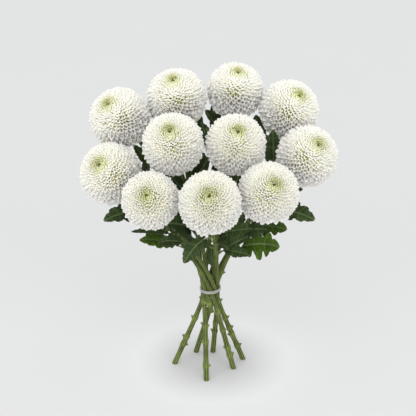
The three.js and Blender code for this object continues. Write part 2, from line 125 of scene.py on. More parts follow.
KEY_AIM = Vector((0.04, 0.03, -1))
KEY_COLOUR = (1.0, 0.98, 0.93)
FILL_AIM = Vector((0.06, 0.93, -0.36))
# Painted shadow on the floor: its glow is lowest round this point and full at this reach
SHADOW_MIDDLE = (0.007, 0.011, 0.0)     # of the soft shadow on the floor
SHADOW_REACH = 0.125

# Each leaf: the flower whose stem carries it, the height where its stalk starts, where its tip is,
# how high it arches over the straight line, how far its upper side turns to the front, its width
# against the usual one, how far its green turns to the young, painted backlit green, and how lobed it is.
# Lengths in mm, turns in degrees.
LEAVES = [
    # Under the front and middle blooms
    ("middle_far_left", 256, (-155, -35, 271), 16, 40, 0.85, 0.12, 0.45),
    ("front_left", 238, (-114, -43, 257), 6, 20, 0.5, 0.08, 0.3),
    ("middle_far_left", 206, (-103, -38, 241), 10, 65, 0.7, 0.9, 0.35),
    ("middle_far_left", 230, (-94, -14, 234), 16, 45, 1.0, 0.15, 0.6),
    ("front_left", 222, (-75, -44, 239), 10, 55, 1.0, 0.08, 0.5),
    ("front_middle", 240, (-37, -47, 207), 22, 45, 1.1, 0.1, 0.25),
    ("front_middle", 212, (61, -50, 221), 8, 45, 0.9, 0.15, 0.3),
    ("front_right", 206, (105, -52, 237), 16, 70, 1.1, 0.85, 1.0),
    ("middle_far_right", 224, (117, -18, 248), 16, 55, 1.0, 0.6, 0.8),
    ("middle_far_right", 256, (159, -6, 258), 16, 40, 0.95, 0.12, 0.45),
    ("middle_far_right", 280, (141, 10, 301), 4, 45, 0.8, 0.08, 0.4),
    ("middle_left", 232, (-63, -42, 270), 6, 60, 1.25, 0.06, 0.4),
    ("front_right", 238, (52, 6, 266), -4, 20, 1.0, 0.08, 0.4),
    ("front_right", 232, (86, -46, 262), 12, 65, 1.1, 0.15, 0.4),
    ("front_middle", 226, (30, -44, 228), 8, 35, 1.2, 0.12, 0.4),
    ("front_middle", 250, (63, -70, 276), 0, 50, 0.8, 0.2, 0.5),
    # Between the blooms
    ("back_left", 318, (-15, 125, 384), 0, 15, 1.0, 0.06, 0.15),
    ("back_right", 322, (5, 124, 391), 0, 35, 0.9, 0.08, 0.15),
    ("back_right", 334, (59, 127, 387), 0, 45, 0.8, 0.05, 0.15),
    ("back_far_right", 322, (72, 100, 385), 0, 105, 1.1, 0.08, 0.4),
    ("middle_far_right", 288, (95, 32, 389), 0, 145, 0.8, 0.06, 0.15),
    ("back_far_left", 296, (-115, 70, 349), 0, 70, 0.7, 0.3, 0.15),
    ("middle_left", 286, (-65, 10, 332), 0, 85, 1.1, 0.06, 0.15),
    ("middle_left", 304, (-19, 22, 344), 0, 95, 1.1, 0.06, 0.15),
    ("back_left", 290, (-6, 60, 339), 0, 110, 1.2, 0.05, 0.15),
    ("middle_right", 304, (-3, 60, 380), 0, 40, 0.9, 0.05, 0.15),
    ("middle_right", 284, (8, 32, 340), 0, 85, 1.1, 0.06, 0.15),
    ("middle_right", 262, (48, 62, 306), -4, 25, 1.0, 0.06, 0.15),
    # Behind
    ("back_right", 262, (50, 118, 292), 14, -10, 1.0, 0.2, 0.8),
    ("back_left", 250, (-56, 112, 284), 14, -10, 1.0, 0.15, 0.8),
    ("back_far_right", 256, (118, 86, 290), 12, -10, 1.0, 0.1, 0.8),
    ("back_far_left", 268, (-122, 82, 290), 12, -10, 1.0, 0.2, 0.8),
    ("back_left", 214, (-9, 60, 175), 8, 130, 1.2, 0.5, 0.7),
    ("back_right", 228, (24, 72, 174), 16, 105, 1.2, 0.15, 0.7),
    ("back_far_right", 232, (59, 80, 184), 14, 95, 1.1, 0.2, 0.7),
    ("back_left", 234, (-45, 72, 177), 16, 95, 1.2, 0.12, 0.7),
    ("back_far_left", 236, (-79, 66, 198), 14, 75, 1.1, 0.15, 0.7),
]
# Small ones that fill the gaps. The plain model has none of them.
SMALL_LEAVES = [
    ("middle_far_right", 200, (62, -20, 240), 4, 50, 1.2, 0.1, 0.4),
    ("back_right", 200, (40, 0, 232), 4, 50, 1.2, 0.08, 0.4),
    ("back_left", 206, (-50, -14, 240), 4, 50, 1.2, 0.08, 0.4),
    ("back_right", 340, (-6, 112, 388), 0, 35, 1.1, 0.05, 0.15),
    ("back_right", 290, (-12, 100, 372), 0, 20, 1.0, 0.05, 0.2),
    ("middle_left", 290, (2, 22, 352), 0, 60, 1.2, 0.06, 0.15),
    ("middle_left", 274, (-34, -20, 344), 0, 75, 1.2, 0.2, 0.15),
    ("middle_left", 214, (-32, -30, 262), 2, 40, 1.3, 0.08, 0.3),
    ("middle_far_left", 280, (-88, 20, 345), 0, 70, 1.1, 0.08, 0.3),
    ("front_middle", 206, (58, -46, 250), 6, 50, 0.9, 0.1, 0.2),
    ("back_far_right", 316, (90, 52, 370), 0, 100, 1.2, 0.06, 0.15),
    ("back_far_left", 300, (-96, 44, 346), 0, 75, 1.2, 0.08, 0.3),
    ("back_left", 330, (-18, 112, 388), 0, 20, 1.0, 0.05, 0.3),
    ("back_far_right", 320, (88, 95, 369), 0, 60, 1.1, 0.06, 0.15),
    ("middle_right", 276, (10, 20, 346), 0, 60, 1.3, 0.06, 0.15),
    ("back_right", 204, (6, 48, 152), 6, 110, 1.4, 0.3, 0.4),
    ("front_middle", 218, (-22, -20, 226), 4, 50, 1.2, 0.1, 0.3),
    ("middle_left", 262, (-38, -46, 280), 2, 50, 1.2, 0.08, 0.3),
]


def linear(hex_colour):
    """The linear red, green, blue and alpha of a screen colour such as 0xf3f2e8."""
    channels = [(hex_colour >> shift & 255) / 255 for shift in (16, 8, 0)]
    return (*[c / 12.92 if c <= 0.04045 else ((c + 0.055) / 1.055) ** 2.4 for c in channels], 1.0)


def colour_property(name, description, hex_colour):
    return bpy.props.FloatVectorProperty(
        name=name, description=description, default=linear(hex_colour), subtype="COLOR", size=4, min=0, max=1,
    )


def length_property(name, description, default):
    return bpy.props.FloatProperty(
        name=name, description=description, default=default, min=0, unit="LENGTH", precision=4,
    )


def angle_property(name, description, degrees):
    return bpy.props.FloatProperty(
        name=name, description=description, default=math.radians(degrees), subtype="ANGLE",
    )


def share_property(name, description, default, highest=1.0):
    return bpy.props.FloatProperty(
        name=name, description=description, default=default, min=0, max=highest, subtype="FACTOR",
    )


def count_property(name, description, default, lowest, highest):
    return bpy.props.IntProperty(
        name=name, description=description, default=default, min=lowest, max=highest,
    )


def strength_property(name, description, default):
    return bpy.props.FloatProperty(name=name, description=description, default=default, min=0)


class BloomSettings(bpy.types.PropertyGroup):
    """Sizes and colours of the blooms"""

    eye_spacing: length_property("Eye spacing", "From floret to floret at the eye", 0.0026)
    front_spacing: length_property("Front spacing", "From floret to floret half way down the front", 0.0055)
    side_spacing: length_property("Side spacing", "From floret to floret at the widest place", 0.0076)
    under_spacing: length_property("Underside spacing", "From floret to floret at the underside", 0.0092)
    pit_angle: angle_property("Pit", "Half the opening of the pit in the eye", 3.8)
    eye_dip: length_property("Eye dip", "How far the eye lies below the ball", 0.0038)
    crown_dip: length_property("Crown dip", "How much flatter the ball is round its eye", 0.0044)
    proud: length_property("Proud", "How far the longest florets stand out of the ball", 0.0016)
    sag: length_property("Sag", "How much longer the florets are that point down", 0.0018)
    incurve: angle_property("Incurve", "How far the florets at the eye lean back to it", 16)
    reflex: angle_property("Reflex", "How far the florets at the underside bend away from the eye", 24)
    hook: share_property("Hook", "How steeply the front florets' tips turn to the eye", 0.5, 2.0)
    petal: colour_property("Floret", "Tips of the open florets", 0xFEFDF6)
    cream: colour_property("Cream", "Lower part of the open florets", 0xFBFAE6)
    eye: colour_property("Eye", "Florets that are still opening", 0xDADC82)
    # The real green of the eye, deepened as painted shade between its florets
    eye_depth: colour_property("Eye depth", "Between the florets of the eye", 0x909436)
    # Painted shade: dark olive at the bottom of the pit in the eye, over the eye's real green
    pit: colour_property("Pit colour", "Bottom of the pit in the middle of the eye", 0x625E26)
    throat: colour_property("Throat", "Lower half of the florets", 0xF3F2CA)
    # Painted shade with the real yellow of the florets' bases: darker olive right down between the florets
    # and on the core
    depth: colour_property("Depth", "Right down between the florets", 0xCACA74)
    # Painted shade: the grey that darkens the middle of each floret's groove
    groove: colour_property("Groove", "Shade along the middle of a floret", 0xEAE9E9)
    # Mostly painted shade, a little real dullness of the older florets: lilac grey on the lower parts of the
    # florets from the sides of the ball down
    outer: colour_property("Outer", "Duller tint between the tips of the oldest florets", 0xDFDEE4)


class StemSettings(bpy.types.PropertyGroup):
    """Sizes and colours of the stems"""

    ribs: count_property("Ribs", "Ridges round a stem", 8, 4, 16)
    rib_depth: share_property("Rib depth", "Depth of the grooves against the stem's radius", 0.1, 0.5)
    ring_spacing: length_property("Ring spacing", "Between the rings that a stem is made of", 0.0025)
    node_swelling: share_property("Node swelling", "How much thicker a stem is at its nodes", 0.26)
    # The real ribs and grooves, with the grooves darkened as painted shade and the ribs lightened as painted
    # highlight
    stem: colour_property("Stem", "Green between the ribs", 0x364119)
    rib: colour_property("Rib", "Lighter green of the ribs", 0x768349)
    stub: colour_property("Stub", "Pale green of the stubs of stripped leaves", 0x84954A)
    cut: colour_property("Cut end", "Cut face of a stem", 0xB4A878)
    browned: colour_property("Browned", "Dried parts of the cut face", 0x6B5836)


class LeafSettings(bpy.types.PropertyGroup):
    """Sizes and colours of the leaves"""

    thickness: length_property("Thickness", "Of a blade", 0.0005)
    fold: share_property("Fold", "How steeply the two halves rise from the midrib", 0.3)
    wave: share_property("Wave", "How far the edges wave", 0.14)
    pucker: share_property("Pucker", "How far the blade bulges between its veins", 0.014, 0.1)
    dark: colour_property("Dark green", "Upper side in plain light", 0x344328)
    # Partly the real lighter green of young blades, partly painted light shining through them from behind
    bright: colour_property("Bright green", "Young blades with the light behind them", 0x3E5808)
    vein: colour_property("Vein", "Midrib and side veins", 0x8CA070)
    underside: colour_property("Underside", "Felted lower side", 0x58684C)
    edge: colour_property("Edge", "Shade towards the sides of a blade", 0xC4C8C0)


class BandSettings(bpy.types.PropertyGroup):
    """Size and colour of the band"""

    strand: length_property("Strand", "Radius of one strand of the elastic", 0.0012)
    turns: count_property("Turns", "Times round the stems", 3, 1, 4)
    elastic: colour_property("Elastic", "Clear grey elastic", 0x9A9E98)


class StageSettings(bpy.types.PropertyGroup):
    """Floor, light and camera"""

    target: bpy.props.FloatVectorProperty(
        name="Target", description="Point that the camera looks at", default=(-0.001, 0.004, 0.2735),
        subtype="TRANSLATION", unit="LENGTH",
    )
    distance: length_property("Distance", "From the target to the camera", 2.2)
    elevation: angle_property("Elevation", "Of the camera above the level", 26)
    lens: bpy.props.FloatProperty(
        name="Lens", description="Focal length in mm", default=126.93, min=10, unit="CAMERA",
    )
    floor_size: length_property("Floor size", "Side of the square floor", 30.0)
    floor: colour_property("Floor", "Pale paper floor", 0xC3C3C3)
    # The floor's glow is painted light: the paper is no lamp
    floor_glow: share_property("Floor glow", "Light that comes through the paper from below", 0.19)
    sky: bpy.props.FloatVectorProperty(
        name="Sky", description="Colour of the light from all round", default=(0.97, 0.985, 1.0, 1.0),
        subtype="COLOR", size=4,
    )
    sky_strength: strength_property("Surround", "Light from all round", 1.0)
    key_strength: strength_property("Key", "Soft light from above", 0.6)
    key_spread: angle_property("Key spread", "Apparent width of the light from above", 50)
    fill_strength: strength_property("Fill", "Soft light from the front", 1.65)
    fill_spread: angle_property("Fill spread", "Apparent width of the light from the front", 100)


# Working with objects

def select_only(*objects):
    bpy.ops.object.select_all(action="DESELECT")
    for item in objects:
        item.select_set(True)
    bpy.context.view_layer.objects.active = objects[0]


def start_from(primitive, location=(0, 0, 0), **settings):
    """The object of a new primitive, with nothing else selected."""
    bpy.ops.object.select_all(action="DESELECT")
    primitive(location=location, **settings)
    return bpy.context.object


def edit(made):
    """Opens a piece in edit mode with all of it selected."""
    select_only(made)
    bpy.ops.object.mode_set(mode="EDIT")
    bpy.ops.mesh.select_all(action="SELECT")


def close_outwards():
    """Turns all faces outwards and leaves edit mode."""
    bpy.ops.mesh.select_all(action="SELECT")
    bpy.ops.mesh.normals_make_consistent(inside=False)
    bpy.ops.object.mode_set(mode="OBJECT")


def thicken(made, thickness, offset=-1.0):
    """Gives a sheet its wall: under it, or half on each side where the offset is 0."""
    select_only(made)
    wall = made.modifiers.new("Wall", "SOLIDIFY")
    wall.thickness = thickness
    wall.offset = offset
    bpy.ops.object.modifier_apply(modifier=wall.name)
    edit(made)
    close_outwards()


def mesh_object(name, corners, faces):
    """A new object at the origin from its corners and faces."""
    mesh = bpy.data.meshes.new(name)
    mesh.from_pydata([tuple(corner) for corner in corners], [], faces)
    made = bpy.data.objects.new(name, mesh)
    bpy.context.scene.collection.objects.link(made)
    return made


def copy_of(source, name, place=None):
    """A copy of a piece with a mesh of its own, moved to its place by a matrix."""
    copy = bpy.data.objects.new(name, source.data.copy())
    bpy.context.scene.collection.objects.link(copy)
    if place:
        copy.data.transform(place)
    return copy


def join_as(name, *objects):
    """The first object with the others joined into it."""
    select_only(*objects)
    bpy.ops.object.join()
    joined = bpy.context.view_layer.objects.active
    joined.name = joined.data.name = name
    return joined


def point_attribute(made, name, values):
    """Three numbers for each corner, or the same three for all, which the materials read."""
    attribute = made.data.attributes.new(name, "FLOAT_VECTOR", "POINT")
    values = np.broadcast_to(values, (len(made.data.vertices), 3))
    attribute.data.foreach_set("vector", values.astype(np.float32).ravel())


def corners_of(made):
    corners = np.empty(len(made.data.vertices) * 3, np.float32)
    made.data.vertices.foreach_get("co", corners)
    return corners.reshape(-1, 3).astype(float)


def set_corners(made, corners):
    made.data.vertices.foreach_set("co", np.asarray(corners, np.float32).ravel())
    made.data.update()


def give_materials(made, *materials):
    made.data.materials.clear()
    for material in materials:
        made.data.materials.append(material)


def hand_over(made, crease, material_slot, *nodes):
    """Smooths a finished piece up to a crease in degrees and puts it in the place of its plain solids."""
    select_only(made)
    bpy.ops.object.shade_smooth_by_angle(angle=math.radians(crease))
    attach(made, "root")
    if nodes:
        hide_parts(*nodes)


def smooth(share, low, high):
    """0 below low, 1 above high and a soft step between them."""
    part = np.clip((np.asarray(share, float) - low) / (high - low), 0, 1)
    return part * part * (3 - 2 * part)


def unit(vectors):
    return vectors / np.linalg.norm(vectors, axis=-1, keepdims=True)


def square_to(axis):
    """Two ways that are square to an axis and to each other, the first of them level."""
    right = unit(np.cross((0, 0, 1), axis))
    return right, np.cross(axis, right)


# Reading the frame

Ring = namedtuple("Ring", "middle along radius stub")       # a place along a stem, and its stub's tip


def read_ring(corners, pole=None):
    """Middle, radius and stub of a ring of the plain stem. A stub is a corner that stands out."""
    if pole is not None:
        return pole, min(np.linalg.norm(corners - pole, axis=1)), None
    middle = corners.mean(axis=0)
    reach = np.linalg.norm(corners - np.median(corners, axis=0), axis=1)
    far = int(np.argmax(reach))
    if reach[far] < STANDS_OUT * np.median(reach):
        return middle, float(np.linalg.norm(corners - middle, axis=1).mean()), None
    others = np.delete(corners, far, axis=0)
    middle = others.mean(axis=0)
    for _ in range(4):
        radius = float(np.linalg.norm(others - middle, axis=1).mean())
        out = unit(corners[far] - middle)
        middle = (others.sum(axis=0) + out * radius) / (STEM_SIDES - 1)
    return middle, radius, corners[far]


def stem_rings(flower):
    """The rings of a plain stem from its cut end up to the calyx, read outwards from its lower pole."""
    plain = bmesh.new()
    plain.from_mesh(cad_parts[f"stem_{flower}"].data)
    bmesh.ops.remove_doubles(plain, verts=plain.verts, dist=WELD)
    poles = sorted((v for v in plain.verts if len(v.link_edges) == STEM_SIDES), key=lambda v: v.co.z)
    seen = {poles[0]}
    ring = poles[:1]
    found = []
    while True:
        ring = list({edge.other_vert(v) for v in ring for edge in v.link_edges} - seen)
        if len(ring) < STEM_SIDES:
            break
        seen.update(ring)
        found.append(np.array([v.co for v in ring]))
    bottom, top = (np.array(pole.co) for pole in (poles[0], poles[-1]))
    plain.free()
    runs_out = np.linalg.norm(found[0] - bottom, axis=1).min() > POINT_LENGTH
    ends = [None if runs_out else bottom] + [None] * (len(found) - 2) + [top]
    places = [read_ring(corners, pole) for corners, pole in zip(found, ends, strict=True)]
    if runs_out:
        places.insert(0, (bottom, POINT_RADIUS, None))
    middles = np.array([middle for middle, _, _ in places])
    steps = unit(np.diff(middles, axis=0))
    alongs = unit(np.vstack([steps[:1], steps[:-1] + steps[1:], steps[-1:]]))
    return [
        Ring(middle, along, radius, stub)
        for (middle, radius, stub), along in zip(places, alongs, strict=True)
    ]


class Stem:
    """The smooth middle line of a stem, sampled closely, with its radius."""

    def __init__(self, flower, spacing):
        rings = stem_rings(flower)
        points, radii = [], []
        for low, high in zip(rings[:-1], rings[1:], strict=True):
            length = np.linalg.norm(high.middle - low.middle)
            steps = max(1, round(length / spacing))
            for share in np.arange(steps) / steps:
                points.append(self.between(low, high, share, length))
                radii.append(low.radius + (high.radius - low.radius) * share)
        self.points = np.array([*points, rings[-1].middle])
        self.radii = np.array([*radii, rings[-1].radius])
        self.nodes = [ring for ring in rings if ring.stub is not None]
        self.on_floor = rings[0].middle[2] < 1 * MM
        self.seat = rings[-1].middle
        self.axis = unit(rings[-1].middle - rings[-2].middle)

    @staticmethod
    def between(low, high, share, length):
        """A point on the curve that leaves each ring along its own direction."""
        square, cube = share**2, share**3
        return (
            low.middle * (2 * cube - 3 * square + 1) + high.middle * (3 * square - 2 * cube)
            + low.along * length * (cube - 2 * square + share) + high.along * length * (cube - square)
        )

    def at_height(self, height):
        """Point, direction and radius where the stem passes a height."""
        above = int(np.argmax(self.points[:, 2] > height))
        low, high = self.points[above - 1], self.points[above]
        share = (height - low[2]) / (high[2] - low[2])
        return low + (high - low) * share, unit(high - low), float(self.radii[above])


def read_stems():
    """The smooth stem of each flower, by its name."""
    if not FLOWERS:
        raise RuntimeError("The frame has no stems")
    spacing = bpy.context.scene.bunch_stems.ring_spacing
    return {flower: Stem(flower, spacing) for flower in FLOWERS}


def read_bloom(flower, stem):
    """Centre, axis and radius of a bloom, from its calyx and from the reach of its plain florets.

    The centre hangs on the radius, so the two are found by turns.
    """
    plain = corners_of(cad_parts[f"bloom_{flower}"])
    radius = 45 * MM
    for _ in range(6):
        centre = stem.seat + stem.axis * (radius * SEAT_SHARE + SEAT_GAP)
        radius = float(np.linalg.norm(plain - centre, axis=1).max())
    return centre, stem.axis, radius


# Shader helpers

class Nodes:
    """The node tree of a material or a group, with short calls to add and join nodes."""

    def __init__(self, tree):
        self.tree = tree

    def feed(self, node, values):
        """Joins outputs to the named sockets of a node, or sets the sockets to plain values."""
        for name, value in values.items():
            if isinstance(value, bpy.types.NodeSocket):
                self.tree.links.new(value, node.inputs[name])
            else:
                node.inputs[name].default_value = value

    def add(self, kind, values=None, **settings):
        node = self.tree.nodes.new(kind)
        for name, value in settings.items():
            setattr(node, name, value)
        self.feed(node, values or {})
        return node

    def math(self, operation, a, b=0.0, c=0.0):
        return self.add("ShaderNodeMath", {0: a, 1: b, 2: c}, operation=operation).outputs[0]

    def step(self, value, low, high, bottom=0.0, top=1.0):
        """A soft step of a value from bottom at low to top at high."""
        values = {"Value": value, "From Min": low, "From Max": high, "To Min": bottom, "To Max": top}
        return self.add("ShaderNodeMapRange", values, interpolation_type="SMOOTHSTEP").outputs["Result"]

    def mix(self, factor, a, b, blend="MIX"):
        values = {"Factor": factor, 6: a, 7: b}
        return self.add("ShaderNodeMix", values, data_type="RGBA", blend_type=blend).outputs[2]

    def noise(self, vector, scale, detail=2.0, roughness=0.5):
        values = {"Vector": vector, "Scale": scale, "Detail": detail, "Roughness": roughness}
        return self.add("ShaderNodeTexNoise", values).outputs["Fac"]

    def attribute(self, name):
        """The three numbers of an attribute."""
        source = self.add("ShaderNodeAttribute", attribute_name=name)
        return self.add("ShaderNodeSeparateXYZ", {0: source.outputs["Vector"]}).outputs

    def object_place(self):
        return self.add("ShaderNodeTexCoord").outputs["Object"]

    def bump(self, height, distance, strength):
        values = {"Height": height, "Distance": distance, "Strength": strength}
        return self.add("ShaderNodeBump", values).outputs["Normal"]


def new_material(name):
    """A new node material with its nodes and its Principled shader."""
    material = bpy.data.materials.new(name)
    material.use_nodes = True
    return material, Nodes(material.node_tree), material.node_tree.nodes["Principled BSDF"]


def new_group(name, inputs, outputs):
    """An empty node group with named inputs and outputs, each given as its kind and its default."""
    tree = bpy.data.node_groups.new(name, "ShaderNodeTree")
    for label, (kind, default) in inputs.items():
        socket = tree.interface.new_socket(label, in_out="INPUT", socket_type=kind)
        if default is not None:
            socket.default_value = default
    for label, kind in outputs.items():
        tree.interface.new_socket(label, in_out="OUTPUT", socket_type=kind)
    nodes = Nodes(tree)
    return tree, nodes, nodes.add("NodeGroupInput").outputs, nodes.add("NodeGroupOutput")


def living_colour_group():
    """Uneven plant colour: broad patches and fine flecks over a base colour."""
    name = "Living colour"
    if name in bpy.data.node_groups:
        return bpy.data.node_groups[name]
    tree, nodes, source, result = new_group(
        name,
        {
            "Colour": ("NodeSocketColor", (1, 1, 1, 1)),
            "Vector": ("NodeSocketVector", None),
            "Patch scale": ("NodeSocketFloat", 60.0),
            "Patch amount": ("NodeSocketFloat", 0.2),
            "Fleck scale": ("NodeSocketFloat", 600.0),
            "Fleck amount": ("NodeSocketFloat", 0.1),
        },
        {"Colour": "NodeSocketColor", "Height": "NodeSocketFloat"},
    )
    patches = nodes.noise(source["Vector"], source["Patch scale"], 3.0)
    flecks = nodes.noise(source["Vector"], source["Fleck scale"], 4.0, 0.6)
    patch_light = nodes.math("SUBTRACT", patches, 0.5)
    patch_light = nodes.math("MULTIPLY_ADD", patch_light, source["Patch amount"], 0.5)
    fleck_light = nodes.math("MULTIPLY", nodes.math("SUBTRACT", flecks, 0.5), source["Fleck amount"])
    light = nodes.math("MULTIPLY", nodes.math("ADD", patch_light, fleck_light), 2.0)
    grey = nodes.add("ShaderNodeCombineColor", {0: light, 1: light, 2: light})
    colour = nodes.mix(1.0, source["Colour"], grey.outputs[0], "MULTIPLY")
    nodes.feed(result, {"Colour": colour, "Height": flecks})
    return tree


def living_colour(nodes, colour, vector, patch, fleck):
    """Places the group with its own values and gives its colour and its height."""
    values = {
        "Colour": colour, "Vector": vector,
        "Patch scale": patch[0], "Patch amount": patch[1],
        "Fleck scale": fleck[0], "Fleck amount": fleck[1],
    }
    node = nodes.add("ShaderNodeGroup", values, node_tree=living_colour_group())
    return node.outputs["Colour"], node.outputs["Height"]


# Materials

def petal_material(settings):
    """White florets that turn cream towards their base and yellow-green at the eye."""
    material, nodes, shader = new_material("Floret white")
    along, from_eye, tone = nodes.attribute("floret")
    groove = nodes.attribute("groove")[0]
    # From a floret's tip down to its base
    white = nodes.mix(nodes.step(along, 0.72, 0.34), settings.petal, settings.cream)
    white = nodes.mix(nodes.step(along, 0.40, 0.16), white, settings.throat)
    # Painted shade at the very bases of the florets: a darker olive over their real yellow
    white = nodes.mix(nodes.step(along, 0.14, 0.04), white, settings.depth)
    # Painted shade down the middle of each floret's groove
    white = nodes.mix(nodes.math("MULTIPLY", groove, 0.9), white, settings.groove, "MULTIPLY")
    # Painted shade between the tips on the sides and underside of the ball, with a little real dullness of
    # the older florets
    dull_and_under_shade = nodes.math("MULTIPLY", nodes.step(from_eye, 45.0, 95.0), nodes.step(along, 0.98, 0.62))
    white = nodes.mix(dull_and_under_shade, white, settings.outer, "MULTIPLY")
    # The eye, with an uneven edge
    ring = nodes.math("MULTIPLY_ADD", tone, 8.0, from_eye)
    tips = nodes.step(along, 1.02, 0.75, 0.2, 1.0)
    outer_eye = nodes.math("MULTIPLY", nodes.step(ring, 27.0, 7.0), tips)
    inner_eye = nodes.math("MULTIPLY", nodes.step(ring, 12.0, 3.0), 0.9)
    tinted = nodes.mix(nodes.math("MAXIMUM", outer_eye, inner_eye), white, settings.eye)
    # Painted shade over the eye's real green, on the lower parts of its florets
    depth = nodes.math("MULTIPLY", nodes.step(ring, 18.0, 5.0), nodes.step(along, 0.80, 0.55))
    deep = nodes.mix(depth, tinted, settings.eye_depth)
    # Painted shade at the bottom of the pit, on the florets' bases and the core round the eye
    bottom = nodes.math("MULTIPLY", nodes.step(from_eye, 8.0, 4.0), nodes.step(along, 0.3, 0.1))
    deep = nodes.mix(bottom, deep, settings.pit)
    colour, height = living_colour(nodes, deep, nodes.object_place(), (90.0, 0.05), (700.0, 0.04))
    nodes.feed(shader, {
        "Base Color": colour,
        "Normal": nodes.bump(height, 0.0002, 0.3),
        "Roughness": 0.62,
        "Specular IOR Level": 0.25,
        "Subsurface Weight": 0.6,
        "Subsurface Radius": (1.0, 0.95, 0.8),
        "Subsurface Scale": 0.005,
    })
    return material


def stem_material(settings):
    """Green stem with lighter ribs, length-wise streaks and paler nodes and stubs. The dark green between the
    ribs is partly painted shade and the light of the ribs partly painted highlight.
    """
    material, nodes, shader = new_material("Stem green")
    rib, near_node, _ = nodes.attribute("stem")
    place = nodes.object_place()
    stretched = nodes.add("ShaderNodeMapping", {"Vector": place, "Scale": (900.0, 900.0, 60.0)})
    streaks = nodes.noise(stretched.outputs[0], 1.0, 3.0)
    ridge = nodes.math("MULTIPLY_ADD", nodes.math("SUBTRACT", streaks, 0.5), 0.7, rib)
    # Real ribs, their contrast raised by painted shade between them and painted highlight on them
    colour = nodes.mix(nodes.step(ridge, 0.15, 0.95), settings.stem, settings.rib)
    colour = nodes.mix(nodes.math("MULTIPLY", near_node, 0.75), colour, settings.stub)
    colour, height = living_colour(nodes, colour, place, (55.0, 0.7), (500.0, 0.18))
    nodes.feed(shader, {
        "Base Color": colour,
        "Normal": nodes.bump(nodes.math("ADD", height, streaks), 0.0003, 0.5),
        "Roughness": nodes.step(streaks, 0.2, 0.8, 0.45, 0.65),
        "Specular IOR Level": 0.15,
    })
    return material


def cut_material(settings):
    """The cut face of a stem: fibrous and partly browned."""
    material, nodes, shader = new_material("Cut stem")
    brown = nodes.noise(nodes.object_place(), 400.0, 4.0)
    nodes.feed(shader, {
        "Base Color": nodes.mix(nodes.step(brown, 0.35, 0.7), settings.cut, settings.browned),
        "Normal": nodes.bump(brown, 0.0004, 0.6),
        "Roughness": 0.8,
    })
    return material


def leaf_veins(nodes, along, across, reach):
    """Where the midrib, the slanting side veins and the fine net between them lie on a blade."""
    root = nodes.math("MULTIPLY_ADD", reach, -LEAF_SLANT, along)
    nearest = 1.0
    for vein in LEAF_VEINS:
        away = nodes.math("ABSOLUTE", nodes.math("SUBTRACT", root, vein))
        nearest = nodes.math("MINIMUM", nearest, away)
    midrib = nodes.step(reach, 0.03, 0.006)
    side_veins = nodes.math("MULTIPLY", nodes.step(nearest, 0.018, 0.004), 0.5)
    flat = nodes.add("ShaderNodeCombineXYZ", {0: along, 1: across})
    values = {"Vector": flat.outputs[0], "Scale": 26.0}
    cells = nodes.add("ShaderNodeTexVoronoi", values, feature="DISTANCE_TO_EDGE")
    net = nodes.math("MULTIPLY", nodes.step(cells.outputs["Distance"], 0.09, 0.01), 0.28)
    return nodes.math("MAXIMUM", nodes.math("MAXIMUM", midrib, side_veins), net)


def leaf_material(settings):
    """Dark green blade with lighter veins, painted backlight in the brighter green of some blades and painted
    shade towards its sides. The blade attribute holds the place on the blade.
    """
    material, nodes, shader = new_material("Leaf green")
    along, across, tone = nodes.attribute("blade")
    reach = nodes.math("ABSOLUTE", across)
    veins = leaf_veins(nodes, along, across, reach)
    # The bright green is partly painted backlight, and the lower side gets it too
    green = nodes.mix(tone, settings.dark, settings.bright)
    upper = nodes.mix(veins, green, nodes.mix(0.48, green, settings.vein))
    lower = nodes.mix(nodes.math("MULTIPLY", tone, 0.8), settings.underside, settings.bright)
    colour = nodes.mix(nodes.attribute("face")[0], lower, upper)
    # Painted shade, darker towards the sides of the blade
    colour = nodes.mix(nodes.step(reach, 0.1, 1.0), colour, settings.edge, "MULTIPLY")
    colour, height = living_colour(nodes, colour, nodes.object_place(), (60.0, 0.6), (900.0, 0.12))
    relief = nodes.math("MULTIPLY_ADD", veins, -1.0, nodes.math("MULTIPLY", height, 0.4))
    nodes.feed(shader, {
        "Base Color": colour,
        "Normal": nodes.bump(relief, 0.0005, 0.7),
        "Roughness": nodes.step(height, 0.3, 0.7, 0.45, 0.6),
        "Specular IOR Level": 0.08,
    })
    return material


def band_material(settings):
    """Clear grey elastic, dusty and slightly uneven."""
    material, nodes, shader = new_material("Clear elastic")
    place = nodes.object_place()
    colour, height = living_colour(nodes, settings.elastic, place, (300.0, 0.35), (1500.0, 0.25))
    nodes.feed(shader, {
        "Base Color": colour,
        "Normal": nodes.bump(height, 0.0003, 0.5),
        "Roughness": 0.32,
        "Specular IOR Level": 0.6,
    })
    return material


def floor_material(settings):
    """Matt paper with the faintest unevenness and a painted glow, strongest in a ring round the bunch,
    fainter farther out, and dropping near the feet as a painted shadow.
    """
    material, nodes, shader = new_material("Paper floor")
    place = nodes.object_place()
    colour, _ = living_colour(nodes, settings.floor, place, (3.0, 0.01), (400.0, 0.01))
    values = {0: place, 1: SHADOW_MIDDLE}
    away = nodes.add("ShaderNodeVectorMath", values, operation="DISTANCE").outputs["Value"]
    fading = nodes.math("MINIMUM", nodes.math("DIVIDE", SHADOW_REACH, away), 1.0)
    # Painted shadow near the feet, where the glow drops to a quarter; farther out the painted glow fades with
    # distance
    glow = nodes.math("MULTIPLY", nodes.step(away, 0.03, SHADOW_REACH, 0.25), fading)
    nodes.feed(shader, {
        "Base Color": colour,
        "Roughness": 0.95,
        "Specular IOR Level": 0.1,
        "Emission Color": (1.0, 1.0, 1.0, 1.0),
        "Emission Strength": nodes.math("MULTIPLY", glow, settings.floor_glow),
    })
    return material


# Blooms

